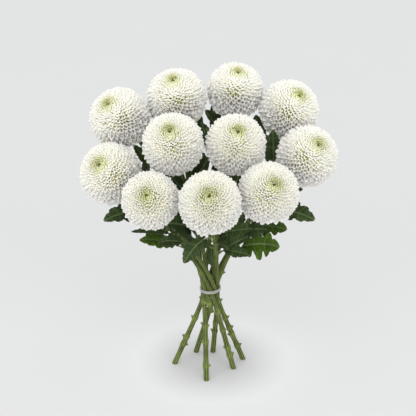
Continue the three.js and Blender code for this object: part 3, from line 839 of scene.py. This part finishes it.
def model_floret():
    """One floret, modelled once: a quill that opens into a grooved spoon with a pointed tip.

    It stands on the origin, one unit long, its groove towards +Y, and one unit from its middle
    to its edge at the widest place.
    """
    corners = len(FLORET_SECTION)
    floret = start_from(bpy.ops.mesh.primitive_circle_add, vertices=corners, radius=1, fill_type="NGON")
    height, width = FLORET_STATIONS[0]
    for vertex, (across, inward) in zip(floret.data.vertices, FLORET_SECTION, strict=True):
        vertex.co = (across * width, inward * width, height)
    edit(floret)
    for next_height, next_width in FLORET_STATIONS[1:]:
        bpy.ops.mesh.extrude_region_move(TRANSFORM_OT_translate={"value": (0, 0, next_height - height)})
        ratio = next_width / width
        bpy.ops.transform.resize(value=(ratio, ratio, 1), center_override=(0, 0, next_height))
        height, width = next_height, next_width
    close_outwards()
    return floret


def floret_spacing(settings, from_eye):
    """From floret to floret at an angle from the eye: wider and wider down to the underside."""
    ring = 0.45 * settings.eye_spacing + 0.55 * settings.front_spacing
    return np.interp(from_eye, np.radians([0, 14, 38, 90, 150]), [
        settings.eye_spacing, ring, settings.front_spacing, settings.side_spacing, settings.under_spacing,
    ])


def floret_angles(settings, radius):
    """Angles from the eye at which florets stand, each with the room that its spacing gives it."""
    fine = np.linspace(settings.pit_angle, math.radians(LAST_FLORET), 500)
    room = PACKING * floret_spacing(settings, fine) ** 2
    per_angle = 2 * math.pi * radius**2 * np.sin(fine) / room
    steps = (per_angle[1:] + per_angle[:-1]) / 2 * np.diff(fine)
    total = np.concatenate([[0], np.cumsum(steps)])
    return np.interp(np.arange(int(total[-1])) + 0.5, total, fine)


def walls_round(flower, blooms):
    """The planes between a bloom and its neighbours, as directions and distances from its centre."""
    centre, _, radius = blooms[flower]
    walls = []
    for other, (other_centre, _, other_radius) in blooms.items():
        if other != flower:
            offset = other_centre - centre
            distance = np.linalg.norm(offset)
            walls.append((offset / distance, (distance + radius - other_radius) / 2))
    return walls


def room_along(directions, walls, radius):
    """How far a floret may reach in each direction before it meets the florets of a neighbour."""
    room = np.full(len(directions), radius)
    for normal, distance in walls:
        share = directions @ normal
        facing = share > 0.2
        room[facing] = np.minimum(room[facing], distance / share[facing])
    return room


def aim_florets(settings, axis, radius, random):
    """For each floret its angle from the eye, its direction, the way to the eye and the way across."""
    from_eye = floret_angles(settings, radius)
    count = len(from_eye)
    stray = STRAY * floret_spacing(settings, from_eye) / radius
    turn = random.uniform(0, 2 * math.pi) + np.arange(count) * GOLDEN_ANGLE
    turn += random.normal(0, 1, count) * stray / np.sin(from_eye)
    from_eye = from_eye + random.normal(0, 1, count) * stray
    right, front = square_to(axis)
    level = right * np.cos(turn)[:, None] + front * np.sin(turn)[:, None]
    direction = axis * np.cos(from_eye)[:, None] + level * np.sin(from_eye)[:, None]
    to_eye = axis * np.sin(from_eye)[:, None] - level * np.cos(from_eye)[:, None]
    across = np.cross(to_eye, direction)
    twist = random.normal(0, TWIST, count)[:, None]
    twisted = across * np.cos(twist) + to_eye * np.sin(twist)
    to_eye = to_eye * np.cos(twist) - across * np.sin(twist)
    return from_eye, direction, to_eye, twisted


def floret_reach(settings, degrees, direction, walls, radius, random):
    """How far each floret's tip stands from the bloom's centre: flatter round the eye, uneven, and
    longer below."""
    count = len(degrees)
    dip = settings.eye_dip * np.exp(-((degrees / EYE_WIDTH) ** 2))
    dip += settings.crown_dip * np.exp(-((degrees / CROWN_WIDTH) ** 2))
    proud = settings.proud * smooth(degrees, 30, 60) + settings.sag * smooth(-direction[:, 2], 0, 0.8)
    reach = room_along(direction, walls, radius) + proud - dip
    reach -= 0.03 * radius * smooth(degrees, 110, LAST_FLORET)
    # Uneven shares of the radius outside the eye, more so at the sides, and both ways below them
    reach -= random.uniform(0, 0.035, count) * radius * smooth(degrees, 5, 40)
    reach -= random.uniform(-0.01, 0.05, count) * radius * smooth(degrees, 55, 85)
    reach += random.uniform(-0.03, 0.03, count) * radius * smooth(degrees, 80, 105)
    return reach


def grow_florets(settings, floret, centre, axis, radius, walls, random):
    """All florets of a bloom: the corners of each, and for each corner how far along it lies, how far
    from the eye in degrees and a tone of its own, and how deep it lies in the groove."""
    from_eye, direction, to_eye, across = aim_florets(settings, axis, radius, random)
    degrees = np.degrees(from_eye)
    count = len(degrees)
    reach = floret_reach(settings, degrees, direction, walls, radius, random)
    base = np.minimum(FLORET_BASE_SHARE * radius, LONGEST_BASE_SHARE * reach)
    length = reach - base
    lean = [settings.incurve, settings.incurve * 0.6, 0, -settings.reflex * 0.4, -settings.reflex]
    lean = np.interp(degrees, [0, 30, 80, 115, LAST_FLORET], lean) + random.normal(0, 0.03, count)
    bow = (np.tan(lean) * length)[:, None]
    hook = np.interp(degrees, *zip(*HOOKS)) * settings.hook + random.normal(0, 0.03, count)
    hook = (hook * length)[:, None]
    half_width = 0.52 - 0.03 * smooth(degrees, 8, 30) + 0.03 * smooth(degrees, 60, 95)
    half_width *= floret_spacing(settings, from_eye) * random.uniform(0.9, 1.1, count)
    tone = random.uniform(-0.5, 0.5, count)[:, None]

    # Each floret bows off its straight line, and its tip hooks and sinks a little as it turns
    part = floret[:, 2]
    hooked = 1 - HOOK_START
    turned = np.clip((part - HOOK_START) / hooked, 0, None)
    sideways = bow * (part**2 - part) + hook * turned**2 * hooked / 2
    slope = bow * (2 * part - 1) + hook * turned
    fall = slope**2 / length[:, None] * turned * hooked / 4
    distance = base[:, None] + length[:, None] * part - fall
    middle = direction[:, None] * distance[..., None] + to_eye[:, None] * sideways[..., None]
    inner = unit(to_eye[:, None] * length[:, None, None] - direction[:, None] * slope[..., None])
    corners = (
        centre + middle
        + across[:, None] * (floret[:, 0] * half_width[:, None])[..., None]
        + inner * (floret[:, 1] * half_width[:, None])[..., None]
    )
    places = np.stack(np.broadcast_arrays(part, degrees[:, None], tone), axis=-1)
    groove = np.tile(FLORET_GROOVE, len(FLORET_STATIONS) * count)
    return corners, places.reshape(-1, 3), groove[:, None]


def model_core(centre, axis, radius):
    """The closed body between the florets, drawn down to the calyx."""
    core = start_from(bpy.ops.mesh.primitive_ico_sphere_add, subdivisions=4, radius=radius * CORE_SHARE)
    corners = corners_of(core)
    distance = np.linalg.norm(corners, axis=1, keepdims=True)
    directions = corners / distance
    from_eye = np.degrees(np.arccos(np.clip(directions @ axis, -1, 1)))[:, None]
    drawn = distance + (radius * SEAT_SHARE - distance) * (1 - smooth(180 - from_eye, 10, 34))
    drawn *= 1 + 0.16 * (1 - smooth(from_eye, 6, 30)) - 0.05 * (1 - smooth(from_eye, 0, 6))
    set_corners(core, directions * drawn + centre)
    # The core takes the painted shade of the depth colour, as if seen right down between the florets
    point_attribute(core, "floret", from_eye * (0, 1, 0) + (0.05, 0, 0))
    point_attribute(core, "groove", 0)
    return core


def model_bloom(settings, flower, blooms, floret, material, seed):
    """A bloom: copies of the floret, each bent to its place, round a core."""
    centre, axis, radius = blooms[flower]
    corners, places, groove = grow_florets(
        settings, corners_of(floret), centre, axis, radius, walls_round(flower, blooms),
        np.random.RandomState(seed),
    )
    count, size, _ = corners.shape
    pattern = [tuple(face.vertices) for face in floret.data.polygons]
    faces = [tuple(corner + size * copy for corner in face) for copy in range(count) for face in pattern]
    florets = mesh_object(f"florets_{flower}", corners.reshape(-1, 3), faces)
    point_attribute(florets, "floret", places)
    point_attribute(florets, "groove", groove)
    bloom = join_as(f"petals_{flower}", florets, model_core(centre, axis, radius))
    give_materials(bloom, material)
    hand_over(bloom, 62, "petals", f"bloom_{flower}")


class BUNCH_OT_blooms(bpy.types.Operator):
    """Add the eleven blooms, each a ball of florets round its eye"""

    bl_idname = "bunch.add_blooms"
    bl_label = "Blooms"

    def execute(self, context):
        settings = context.scene.bunch_blooms
        material = petal_material(settings)
        floret = model_floret()
        blooms = {flower: read_bloom(flower, stem) for flower, stem in read_stems().items()}
        for seed, flower in enumerate(FLOWERS):
            model_bloom(settings, flower, blooms, floret, material, 40 + seed)
        bpy.data.objects.remove(floret)
        return {"FINISHED"}


# Stems

def model_profile(settings):
    """Cross-section of a stem: a circle with grooves between its ribs."""
    profile = start_from(bpy.ops.curve.primitive_bezier_circle_add, radius=1)
    profile.data.splines.clear()
    count = settings.ribs * 2
    line = profile.data.splines.new("POLY")
    line.points.add(count - 1)
    line.use_cyclic_u = True
    for index, point in enumerate(line.points):
        turn = 2 * math.pi * index / count
        radius = 1 if index % 2 == 0 else 1 - settings.rib_depth
        point.co = (radius * math.cos(turn), radius * math.sin(turn), 0, 1)
    return profile


def tube_along(name, points, radii, profile=None, sides=2):
    """A closed tube along a line, drawn as a curve with a profile and made a mesh."""
    tube = start_from(bpy.ops.curve.primitive_bezier_curve_add)
    curve = tube.data
    curve.dimensions = "3D"
    curve.twist_mode = "MINIMUM"
    curve.use_fill_caps = True
    curve.splines.clear()
    line = curve.splines.new("POLY")
    line.points.add(len(points) - 1)
    for place, point, radius in zip(line.points, points, radii, strict=True):
        place.co = (*point, 1)
        place.radius = radius
    if profile:
        curve.bevel_mode = "OBJECT"
        curve.bevel_object = profile
    else:
        curve.bevel_depth = 1
        curve.bevel_resolution = sides
    select_only(tube)
    bpy.ops.object.convert(target="MESH")
    tube = bpy.context.object
    edit(tube)
    bpy.ops.mesh.remove_doubles(threshold=WELD)
    close_outwards()
    tube.name = tube.data.name = name
    return tube


def swell_at_nodes(settings, stem):
    """The stem's radii, thicker round each stub."""
    radii = stem.radii.copy()
    for ring in stem.nodes:
        away = np.linalg.norm(stem.points - ring.middle, axis=1)
        radii *= 1 + settings.node_swelling * np.exp(-((away / SWELLING_LENGTH) ** 2))
    return radii


def facing_frame(place, outward, upward, scale):
    """The matrix that puts +Z outward and +Y as near upward as it goes, at a place."""
    z = Vector(outward).normalized()
    x = Vector(upward).cross(z).normalized()
    turn = Matrix((x, z.cross(x), z)).transposed().to_4x4()
    return Matrix.Translation(Vector(place)) @ turn @ Matrix.Diagonal((*scale, 1))


def model_stub(material):
    """The stub of a stripped leaf, modelled once: a wedge that rises from the stem and is torn off
    at its end. It stands on the origin and points along +Z, one unit long, its keel towards -Y."""
    stub = start_from(
        bpy.ops.mesh.primitive_circle_add, (0, 0, -0.35), vertices=8, radius=0.62, fill_type="NGON",
    )
    edit(stub)
    bpy.ops.transform.resize(value=(1, 1.45, 1))
    for rise, width in ((0.45, 0.86), (0.35, 0.66), (0.32, 0.7), (0.23, 0.62)):
        bpy.ops.mesh.extrude_region_move(TRANSFORM_OT_translate={"value": (0, 0.05, rise)})
        bpy.ops.transform.resize(value=(width, width, 1))
    bpy.ops.mesh.inset(thickness=0.02, depth=-0.08)
    close_outwards()
    give_materials(stub, material)
    point_attribute(stub, "stem", (0.6, 0.4, 0))
    return stub


def add_stubs(stem, stub, random):
    """A copy of the stub at each node, rising a little up the stem."""
    copies = []
    for ring in stem.nodes:
        out = ring.stub - ring.middle
        sunk = ring.radius * STUB_SINK
        reach = np.linalg.norm(out) - sunk
        out = unit(out - ring.along * (out @ ring.along))
        outward = unit(out + ring.along * random.uniform(0.25, 0.6))
        length = random.uniform(0.8, 0.95) * reach
        width = random.uniform(3.3, 3.9) * MM
        place = facing_frame(ring.middle + out * sunk, outward, ring.along, (width, width, length))
        copies.append(copy_of(stub, "stub", place))
    return copies


def model_bract(material):
    """A pointed bract of the calyx, modelled once: lying along +Z, one unit long and wide."""
    bract = start_from(bpy.ops.mesh.primitive_grid_add, x_subdivisions=2, y_subdivisions=5, size=1)
    for vertex in bract.data.vertices:
        share = vertex.co.y + 0.5
        half = 0.5 * math.sin(math.pi * (0.22 + 0.76 * share))
        side = vertex.co.x * 2
        vertex.co = (side * half, 0.28 * share**2 - 0.16 * side**2, share)
    thicken(bract, 0.07)
    give_materials(bract, material)
    point_attribute(bract, "stem", (0.5, 0.25, 0))
    return bract


def add_bracts(stem, bract):
    """Overlapping rows of bracts round the calyx."""
    copies = []
    right, front = square_to(stem.axis)
    for row, (below, radius, flare, length, count) in enumerate(BRACT_ROWS):
        width = 2 * math.pi * radius / count * 1.15
        for index in range(count):
            turn = 2 * math.pi * (index + row / 2) / count
            out = right * math.cos(turn) + front * math.sin(turn)
            foot = stem.seat - stem.axis * below * MM + out * radius * 0.94 * MM
            scale = (width * MM, length * MM, length * MM)
            place = facing_frame(foot, unit(stem.axis + out * flare), out, scale)
            copies.append(copy_of(bract, "bract", place))
    return copies


def mark_stem(tube, stem, radii):
    """Gives each corner of a stem its place on a rib and how near to a node it is."""
    corners = corners_of(tube)
    nearest = np.linalg.norm(corners[:, None] - stem.points[None], axis=2).argmin(axis=1)
    place = stem.points[nearest]
    rib = smooth(np.linalg.norm(corners - place, axis=1) / radii[nearest], 0.88, 1.0)
    near_node = np.zeros(len(corners))
    for ring in stem.nodes:
        away = np.linalg.norm(place - ring.middle, axis=1)
        near_node = np.maximum(near_node, PALE_SHARE * np.exp(-((away / PALE_LENGTH) ** 2)))
    point_attribute(tube, "stem", np.column_stack([rib, near_node, np.zeros(len(rib))]))


def model_stem(settings, flower, stem, profile, stub, bract, materials, seed):
    """A stem with its stubs and calyx. One that stands on the floor is cut level with it."""
    radii = swell_at_nodes(settings, stem)
    points = stem.points.copy()
    if stem.on_floor:
        points[0] -= unit(points[1] - points[0]) * 4 * MM
    tube = tube_along("stalk", points, radii, profile)
    if stem.on_floor:
        edit(tube)
        bpy.ops.mesh.bisect(plane_co=(0, 0, 0), plane_no=(0, 0, 1), clear_inner=True, use_fill=True)
        bpy.ops.object.mode_set(mode="OBJECT")
    mark_stem(tube, stem, radii)
    give_materials(tube, *materials)
    down = -unit(stem.points[1] - stem.points[0])
    for face in tube.data.polygons:
        at_end = np.linalg.norm(np.array(face.center) - stem.points[0]) < 3 * MM
        face.material_index = int(at_end and np.array(face.normal) @ down > 0.85)
    stubs = add_stubs(stem, stub, np.random.RandomState(seed))
    made = join_as(f"stalk_{flower}", tube, *stubs, *add_bracts(stem, bract))
    hand_over(made, 40, "stem", f"stem_{flower}")


class BUNCH_OT_stems(bpy.types.Operator):
    """Add the eleven ribbed stems with their stubs and calyxes"""

    bl_idname = "bunch.add_stems"
    bl_label = "Stems"

    def execute(self, context):
        settings = context.scene.bunch_stems
        materials = (stem_material(settings), cut_material(settings))
        patterns = (model_profile(settings), model_stub(materials[0]), model_bract(materials[0]))
        for seed, (flower, stem) in enumerate(read_stems().items()):
            model_stem(settings, flower, stem, *patterns, materials, 70 + seed)
        for pattern in patterns:
            bpy.data.objects.remove(pattern)
        return {"FINISHED"}


# Leaves

def plain_outline():
    """The outline of a leaf without lobes: a pointed oval with a few teeth."""
    return [
        (share, 0.01 + 0.205 * math.sin(math.pi * share**0.9) ** 0.8 + 0.018 * (index % 4 == 2))
        for index, (share, _) in enumerate(LEAF_OUTLINE)
    ]


def model_blade(settings, outline):
    """A flat leaf blade, modelled once: lying along +X from 0 to 1, with an outline, and puckered."""
    columns = len(outline) - 1
    blade = start_from(bpy.ops.mesh.primitive_grid_add, x_subdivisions=columns, y_subdivisions=8, size=1)
    distances, halves = (np.array(part) for part in zip(*outline, strict=True))
    # The grid's lines across the blade slant as its side veins do
    roots = np.maximum(distances - LEAF_SLANT * halves, 0.004 * np.arange(columns + 1))
    roots = np.maximum.accumulate(roots)
    corners = corners_of(blade)
    column = np.rint((corners[:, 0] + 0.5) * columns).astype(int)
    side = corners[:, 1] * 2
    reach = np.abs(side)
    root = roots[column]
    along = root + (distances[column] - root) * reach
    # It bulges between one side vein and the next and dips along the midrib
    veins = np.array([-0.05, *LEAF_VEINS, 1.0])
    gap = np.searchsorted(veins, root + 1e-6) - 1
    phase = (root - veins[gap]) / (veins[gap + 1] - veins[gap])
    lift = settings.pucker * np.sin(math.pi * phase) * np.sqrt(np.clip(4 * reach * (1 - reach), 0, 1))
    lift -= 0.008 * (1 - smooth(reach, 0, 0.25))
    set_corners(blade, np.column_stack([along, side * halves[column], lift]))
    thicken(blade, settings.thickness / (50 * MM), 0)
    return blade


class Spine:
    """The arched middle line of a leaf, measured along its length."""

    def __init__(self, base, bend, tip):
        share = np.linspace(0, 1, 80)[:, None]
        self.points = base * (1 - share) ** 2 + bend * 2 * share * (1 - share) + tip * share**2
        steps = np.linalg.norm(np.diff(self.points, axis=0), axis=1)
        self.travel = np.concatenate([[0], np.cumsum(steps)])
        self.length = self.travel[-1]

    def at(self, shares):
        """Points and directions at shares of the length, carried straight on past the tip."""
        wanted = shares * self.length
        number = np.clip(np.searchsorted(self.travel, wanted) - 1, 0, len(self.travel) - 2)
        direction = unit(self.points[number + 1] - self.points[number])
        return self.points[number] + direction * (wanted - self.travel[number])[:, None], direction

    def frame(self, shares, turn):
        """Points, the way across and the way up, turned about the line beyond its stalk."""
        points, along = self.at(shares)
        level = unit(np.cross(along, (0, 0, 1)))
        angle = (turn * smooth(shares, 0, 0.4))[:, None]
        across = level * np.cos(angle) + np.cross(along, level) * np.sin(angle)
        return points, across, np.cross(across, along)


def lay_blade(settings, blades, lobing, spine, turn, wide, phase, tone):
    """A blade between the plain one and the lobed one, folded and waved along its spine."""
    plain, lobed = (corners_of(blade) for blade in blades)
    flat = plain + (lobed - plain) * lobing
    size = spine.length * (1 - STALK_SHARE)
    shares = STALK_SHARE + (1 - STALK_SHARE) * flat[:, 0]
    points, across, upward = spine.frame(shares, turn)
    side = -flat[:, 1] * size * wide
    # Folded at the midrib, waved along each edge, and drooping towards the edges
    wave = settings.wave * np.sin(phase + shares * 11 + np.sign(side) * 1.3)
    rise = np.abs(side) * (settings.fold + wave) - 2.2 * side**2 + flat[:, 2] * size
    rise += 0.02 * size * np.sin(phase * 3 + shares * 31) * smooth(np.abs(flat[:, 1]), 0.12, 0.3)
    made = copy_of(blades[0], "blade")
    set_corners(made, points + across * side[:, None] + upward * rise[:, None])
    point_attribute(made, "blade", flat * (1, 1, 0) + (0, 0, tone))
    normals = np.array([vertex.normal for vertex in made.data.vertices])
    faces_up = np.einsum("ij,ij->i", normals, upward) > 0
    point_attribute(made, "face", faces_up[:, None])
    return made


def draw_leaf_stalk(spine, turn, foot, tone):
    """The stalk, which runs on under the blade as its midrib."""
    shares = np.linspace(0, 0.9, 22)
    middle, _, upward = spine.frame(shares, turn)
    sink = 0.008 * spine.length * (1 - STALK_SHARE) + 0.35 * MM
    middle -= upward * (sink * smooth(shares, STALK_SHARE * 0.8, STALK_SHARE * 1.2))[:, None]
    middle[0] = foot
    thick = np.interp(shares, [0, 0.05, STALK_SHARE, 0.5, 0.9], [1.7, 1.15, 0.85, 0.55, 0.2]) * MM
    stalk = tube_along("stalk", middle, thick, sides=1)
    point_attribute(stalk, "blade", (0.5, 0, tone))
    point_attribute(stalk, "face", 1)
    return stalk


def model_leaf(settings, leaf, stems, blades, material, seed):
    """A leaf, from its row in the list above: its stalk leaves the stem square to it."""
    flower, height, tip, arch, face, wide, tone, lobing = leaf
    random = np.random.RandomState(seed)
    onto, along, radius = stems[flower].at_height(height * MM)
    tip = np.array(tip) * MM
    outward = tip - onto
    outward = unit(outward - along * (outward @ along))
    base = onto + outward * (radius + 0.3 * MM)
    bend = base + (tip - base) * 0.45 + np.array((0, 0, arch)) * MM
    spine = Spine(base, bend, tip)
    turn = math.radians(face) * np.sign(tip[0] - base[0])
    phase = random.uniform(0, 2 * math.pi)
    tone = float(np.clip(tone + random.uniform(-0.06, 0.1), 0, 1))
    made = join_as(
        f"foliage_{flower}_{height}",
        lay_blade(settings, blades, lobing, spine, turn, wide, phase, tone),
        draw_leaf_stalk(spine, turn, onto + outward * radius * 0.6, tone),
    )
    give_materials(made, material)
    node = f"leaf_{flower}_{height}"
    hand_over(made, 50, "leaf", *([node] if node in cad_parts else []))


class BUNCH_OT_leaves(bpy.types.Operator):
    """Add the lobed leaves with their stalks"""

    bl_idname = "bunch.add_leaves"
    bl_label = "Leaves"

    def execute(self, context):
        settings = context.scene.bunch_leaves
        material = leaf_material(settings)
        blades = [model_blade(settings, outline) for outline in (plain_outline(), LEAF_OUTLINE)]
        stems = read_stems()
        for seed, leaf in enumerate(LEAVES + SMALL_LEAVES):
            model_leaf(settings, leaf, stems, blades, material, 200 + seed)
        for blade in blades:
            bpy.data.objects.remove(blade)
        return {"FINISHED"}


# Band

def band_path(settings):
    """The elastic's way round the outer stems, drawn tight, with its turns crossing now and then."""
    low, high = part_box("tie_band")
    plain = corners_of(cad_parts["tie_band"])
    middle = plain.mean(axis=0)
    offsets = plain[:, :2] - middle[:2]
    plain_turns = np.arctan2(offsets[:, 1], offsets[:, 0])
    reach = np.linalg.norm(offsets, axis=1)
    loops = np.arange(BAND_STEPS * settings.turns) / BAND_STEPS
    turns = 2 * math.pi * loops
    radii = []
    for turn in turns:
        away = np.abs((plain_turns - turn + math.pi) % (2 * math.pi) - math.pi)
        near = away < 2 * math.pi / BAND_STEPS * 1.6
        radii.append(reach[near].max() if near.any() else radii[-1])
    radii = np.convolve([*radii[-2:], *radii, *radii[:2]], np.ones(5) / 5, "valid")
    radii -= settings.strand + 0.12 * MM * np.sin(9 * turns + loops)
    rise = 1.6 * settings.strand * (settings.turns - 1) * (0.5 - np.abs(1 - 2 * loops / settings.turns))
    rise += (low.z + high.z) / 2 + BAND_RISE + BAND_TILT * np.cos(turns)
    return np.column_stack([middle[0] + radii * np.cos(turns), middle[1] + radii * np.sin(turns), rise])


class BUNCH_OT_band(bpy.types.Operator):
    """Add the clear elastic that ties the stems"""

    bl_idname = "bunch.add_band"
    bl_label = "Band"

    def execute(self, context):
        settings = context.scene.bunch_band
        path = band_path(settings)
        radii = [settings.strand] * (len(path) + 1)
        band = tube_along("elastic_band", np.vstack([path, path[:1]]), radii, sides=3)
        give_materials(band, band_material(settings))
        hand_over(band, 180, "band", "tie_band")
        return {"FINISHED"}


# Stage

def add_sun(name, strength, spread, aim, colour):
    """A soft light from far away that shines along its aim."""
    bpy.ops.object.light_add(type="SUN", location=-3 * aim)
    sun = bpy.context.object
    sun.name = name
    sun.data.energy = strength
    sun.data.angle = spread
    sun.data.color = colour
    sun.rotation_euler = aim.to_track_quat("-Z", "Y").to_euler()


class BUNCH_OT_stage(bpy.types.Operator):
    """Add the pale floor, the soft light and the camera"""

    bl_idname = "bunch.add_stage"
    bl_label = "Stage"

    def execute(self, context):
        scene = context.scene
        settings = scene.bunch_stage
        scene.view_settings.view_transform = "Standard"
        floor = start_from(bpy.ops.mesh.primitive_plane_add, size=settings.floor_size)
        floor.name = floor.data.name = "paper_floor"
        give_materials(floor, floor_material(settings))

        scene.world = bpy.data.worlds.new("Surround")
        scene.world.use_nodes = True
        background = scene.world.node_tree.nodes["Background"]
        background.inputs["Color"].default_value = settings.sky
        background.inputs["Strength"].default_value = settings.sky_strength
        scene.cycles.max_bounces = 16
        scene.cycles.diffuse_bounces = 14
        add_sun("soft_key", settings.key_strength, settings.key_spread, KEY_AIM, KEY_COLOUR)
        add_sun("soft_fill", settings.fill_strength, settings.fill_spread, FILL_AIM, (1, 1, 1))

        back = Vector((0, -math.cos(settings.elevation), math.sin(settings.elevation)))
        bpy.ops.object.camera_add(location=Vector(settings.target) + back * settings.distance)
        camera = context.object
        camera.name = "photo_camera"
        camera.rotation_euler = (-back).to_track_quat("-Z", "Y").to_euler()
        camera.data.sensor_width = 36
        camera.data.lens = settings.lens
        scene.camera = camera
        return {"FINISHED"}


PIECES = (
    (BUNCH_OT_stage, "bunch_stage", StageSettings),
    (BUNCH_OT_blooms, "bunch_blooms", BloomSettings),
    (BUNCH_OT_stems, "bunch_stems", StemSettings),
    (BUNCH_OT_leaves, "bunch_leaves", LeafSettings),
    (BUNCH_OT_band, "bunch_band", BandSettings),
)


class VIEW3D_PT_bunch(bpy.types.Panel):
    """Lists the pieces of the bunch"""

    bl_label = "Disbud chrysanthemums"
    bl_space_type = "VIEW_3D"
    bl_region_type = "UI"
    bl_category = "Bunch"

    def draw(self, context):
        for operator, name, group in PIECES:
            box = self.layout.box()
            box.operator(operator.bl_idname)
            for setting in group.__annotations__:
                box.prop(getattr(context.scene, name), setting)


def register():
    for operator, name, group in PIECES:
        bpy.utils.register_class(group)
        setattr(bpy.types.Scene, name, bpy.props.PointerProperty(type=group))
        bpy.utils.register_class(operator)
    bpy.utils.register_class(VIEW3D_PT_bunch)


def unregister():
    bpy.utils.unregister_class(VIEW3D_PT_bunch)
    for operator, name, group in reversed(PIECES):
        bpy.utils.unregister_class(operator)
        delattr(bpy.types.Scene, name)
        bpy.utils.unregister_class(group)


def main():
    register()
    bpy.ops.bunch.add_stage()
    bpy.ops.bunch.add_blooms()
    bpy.ops.bunch.add_stems()
    bpy.ops.bunch.add_leaves()
    bpy.ops.bunch.add_band()


if __name__ == "__main__":
    main()
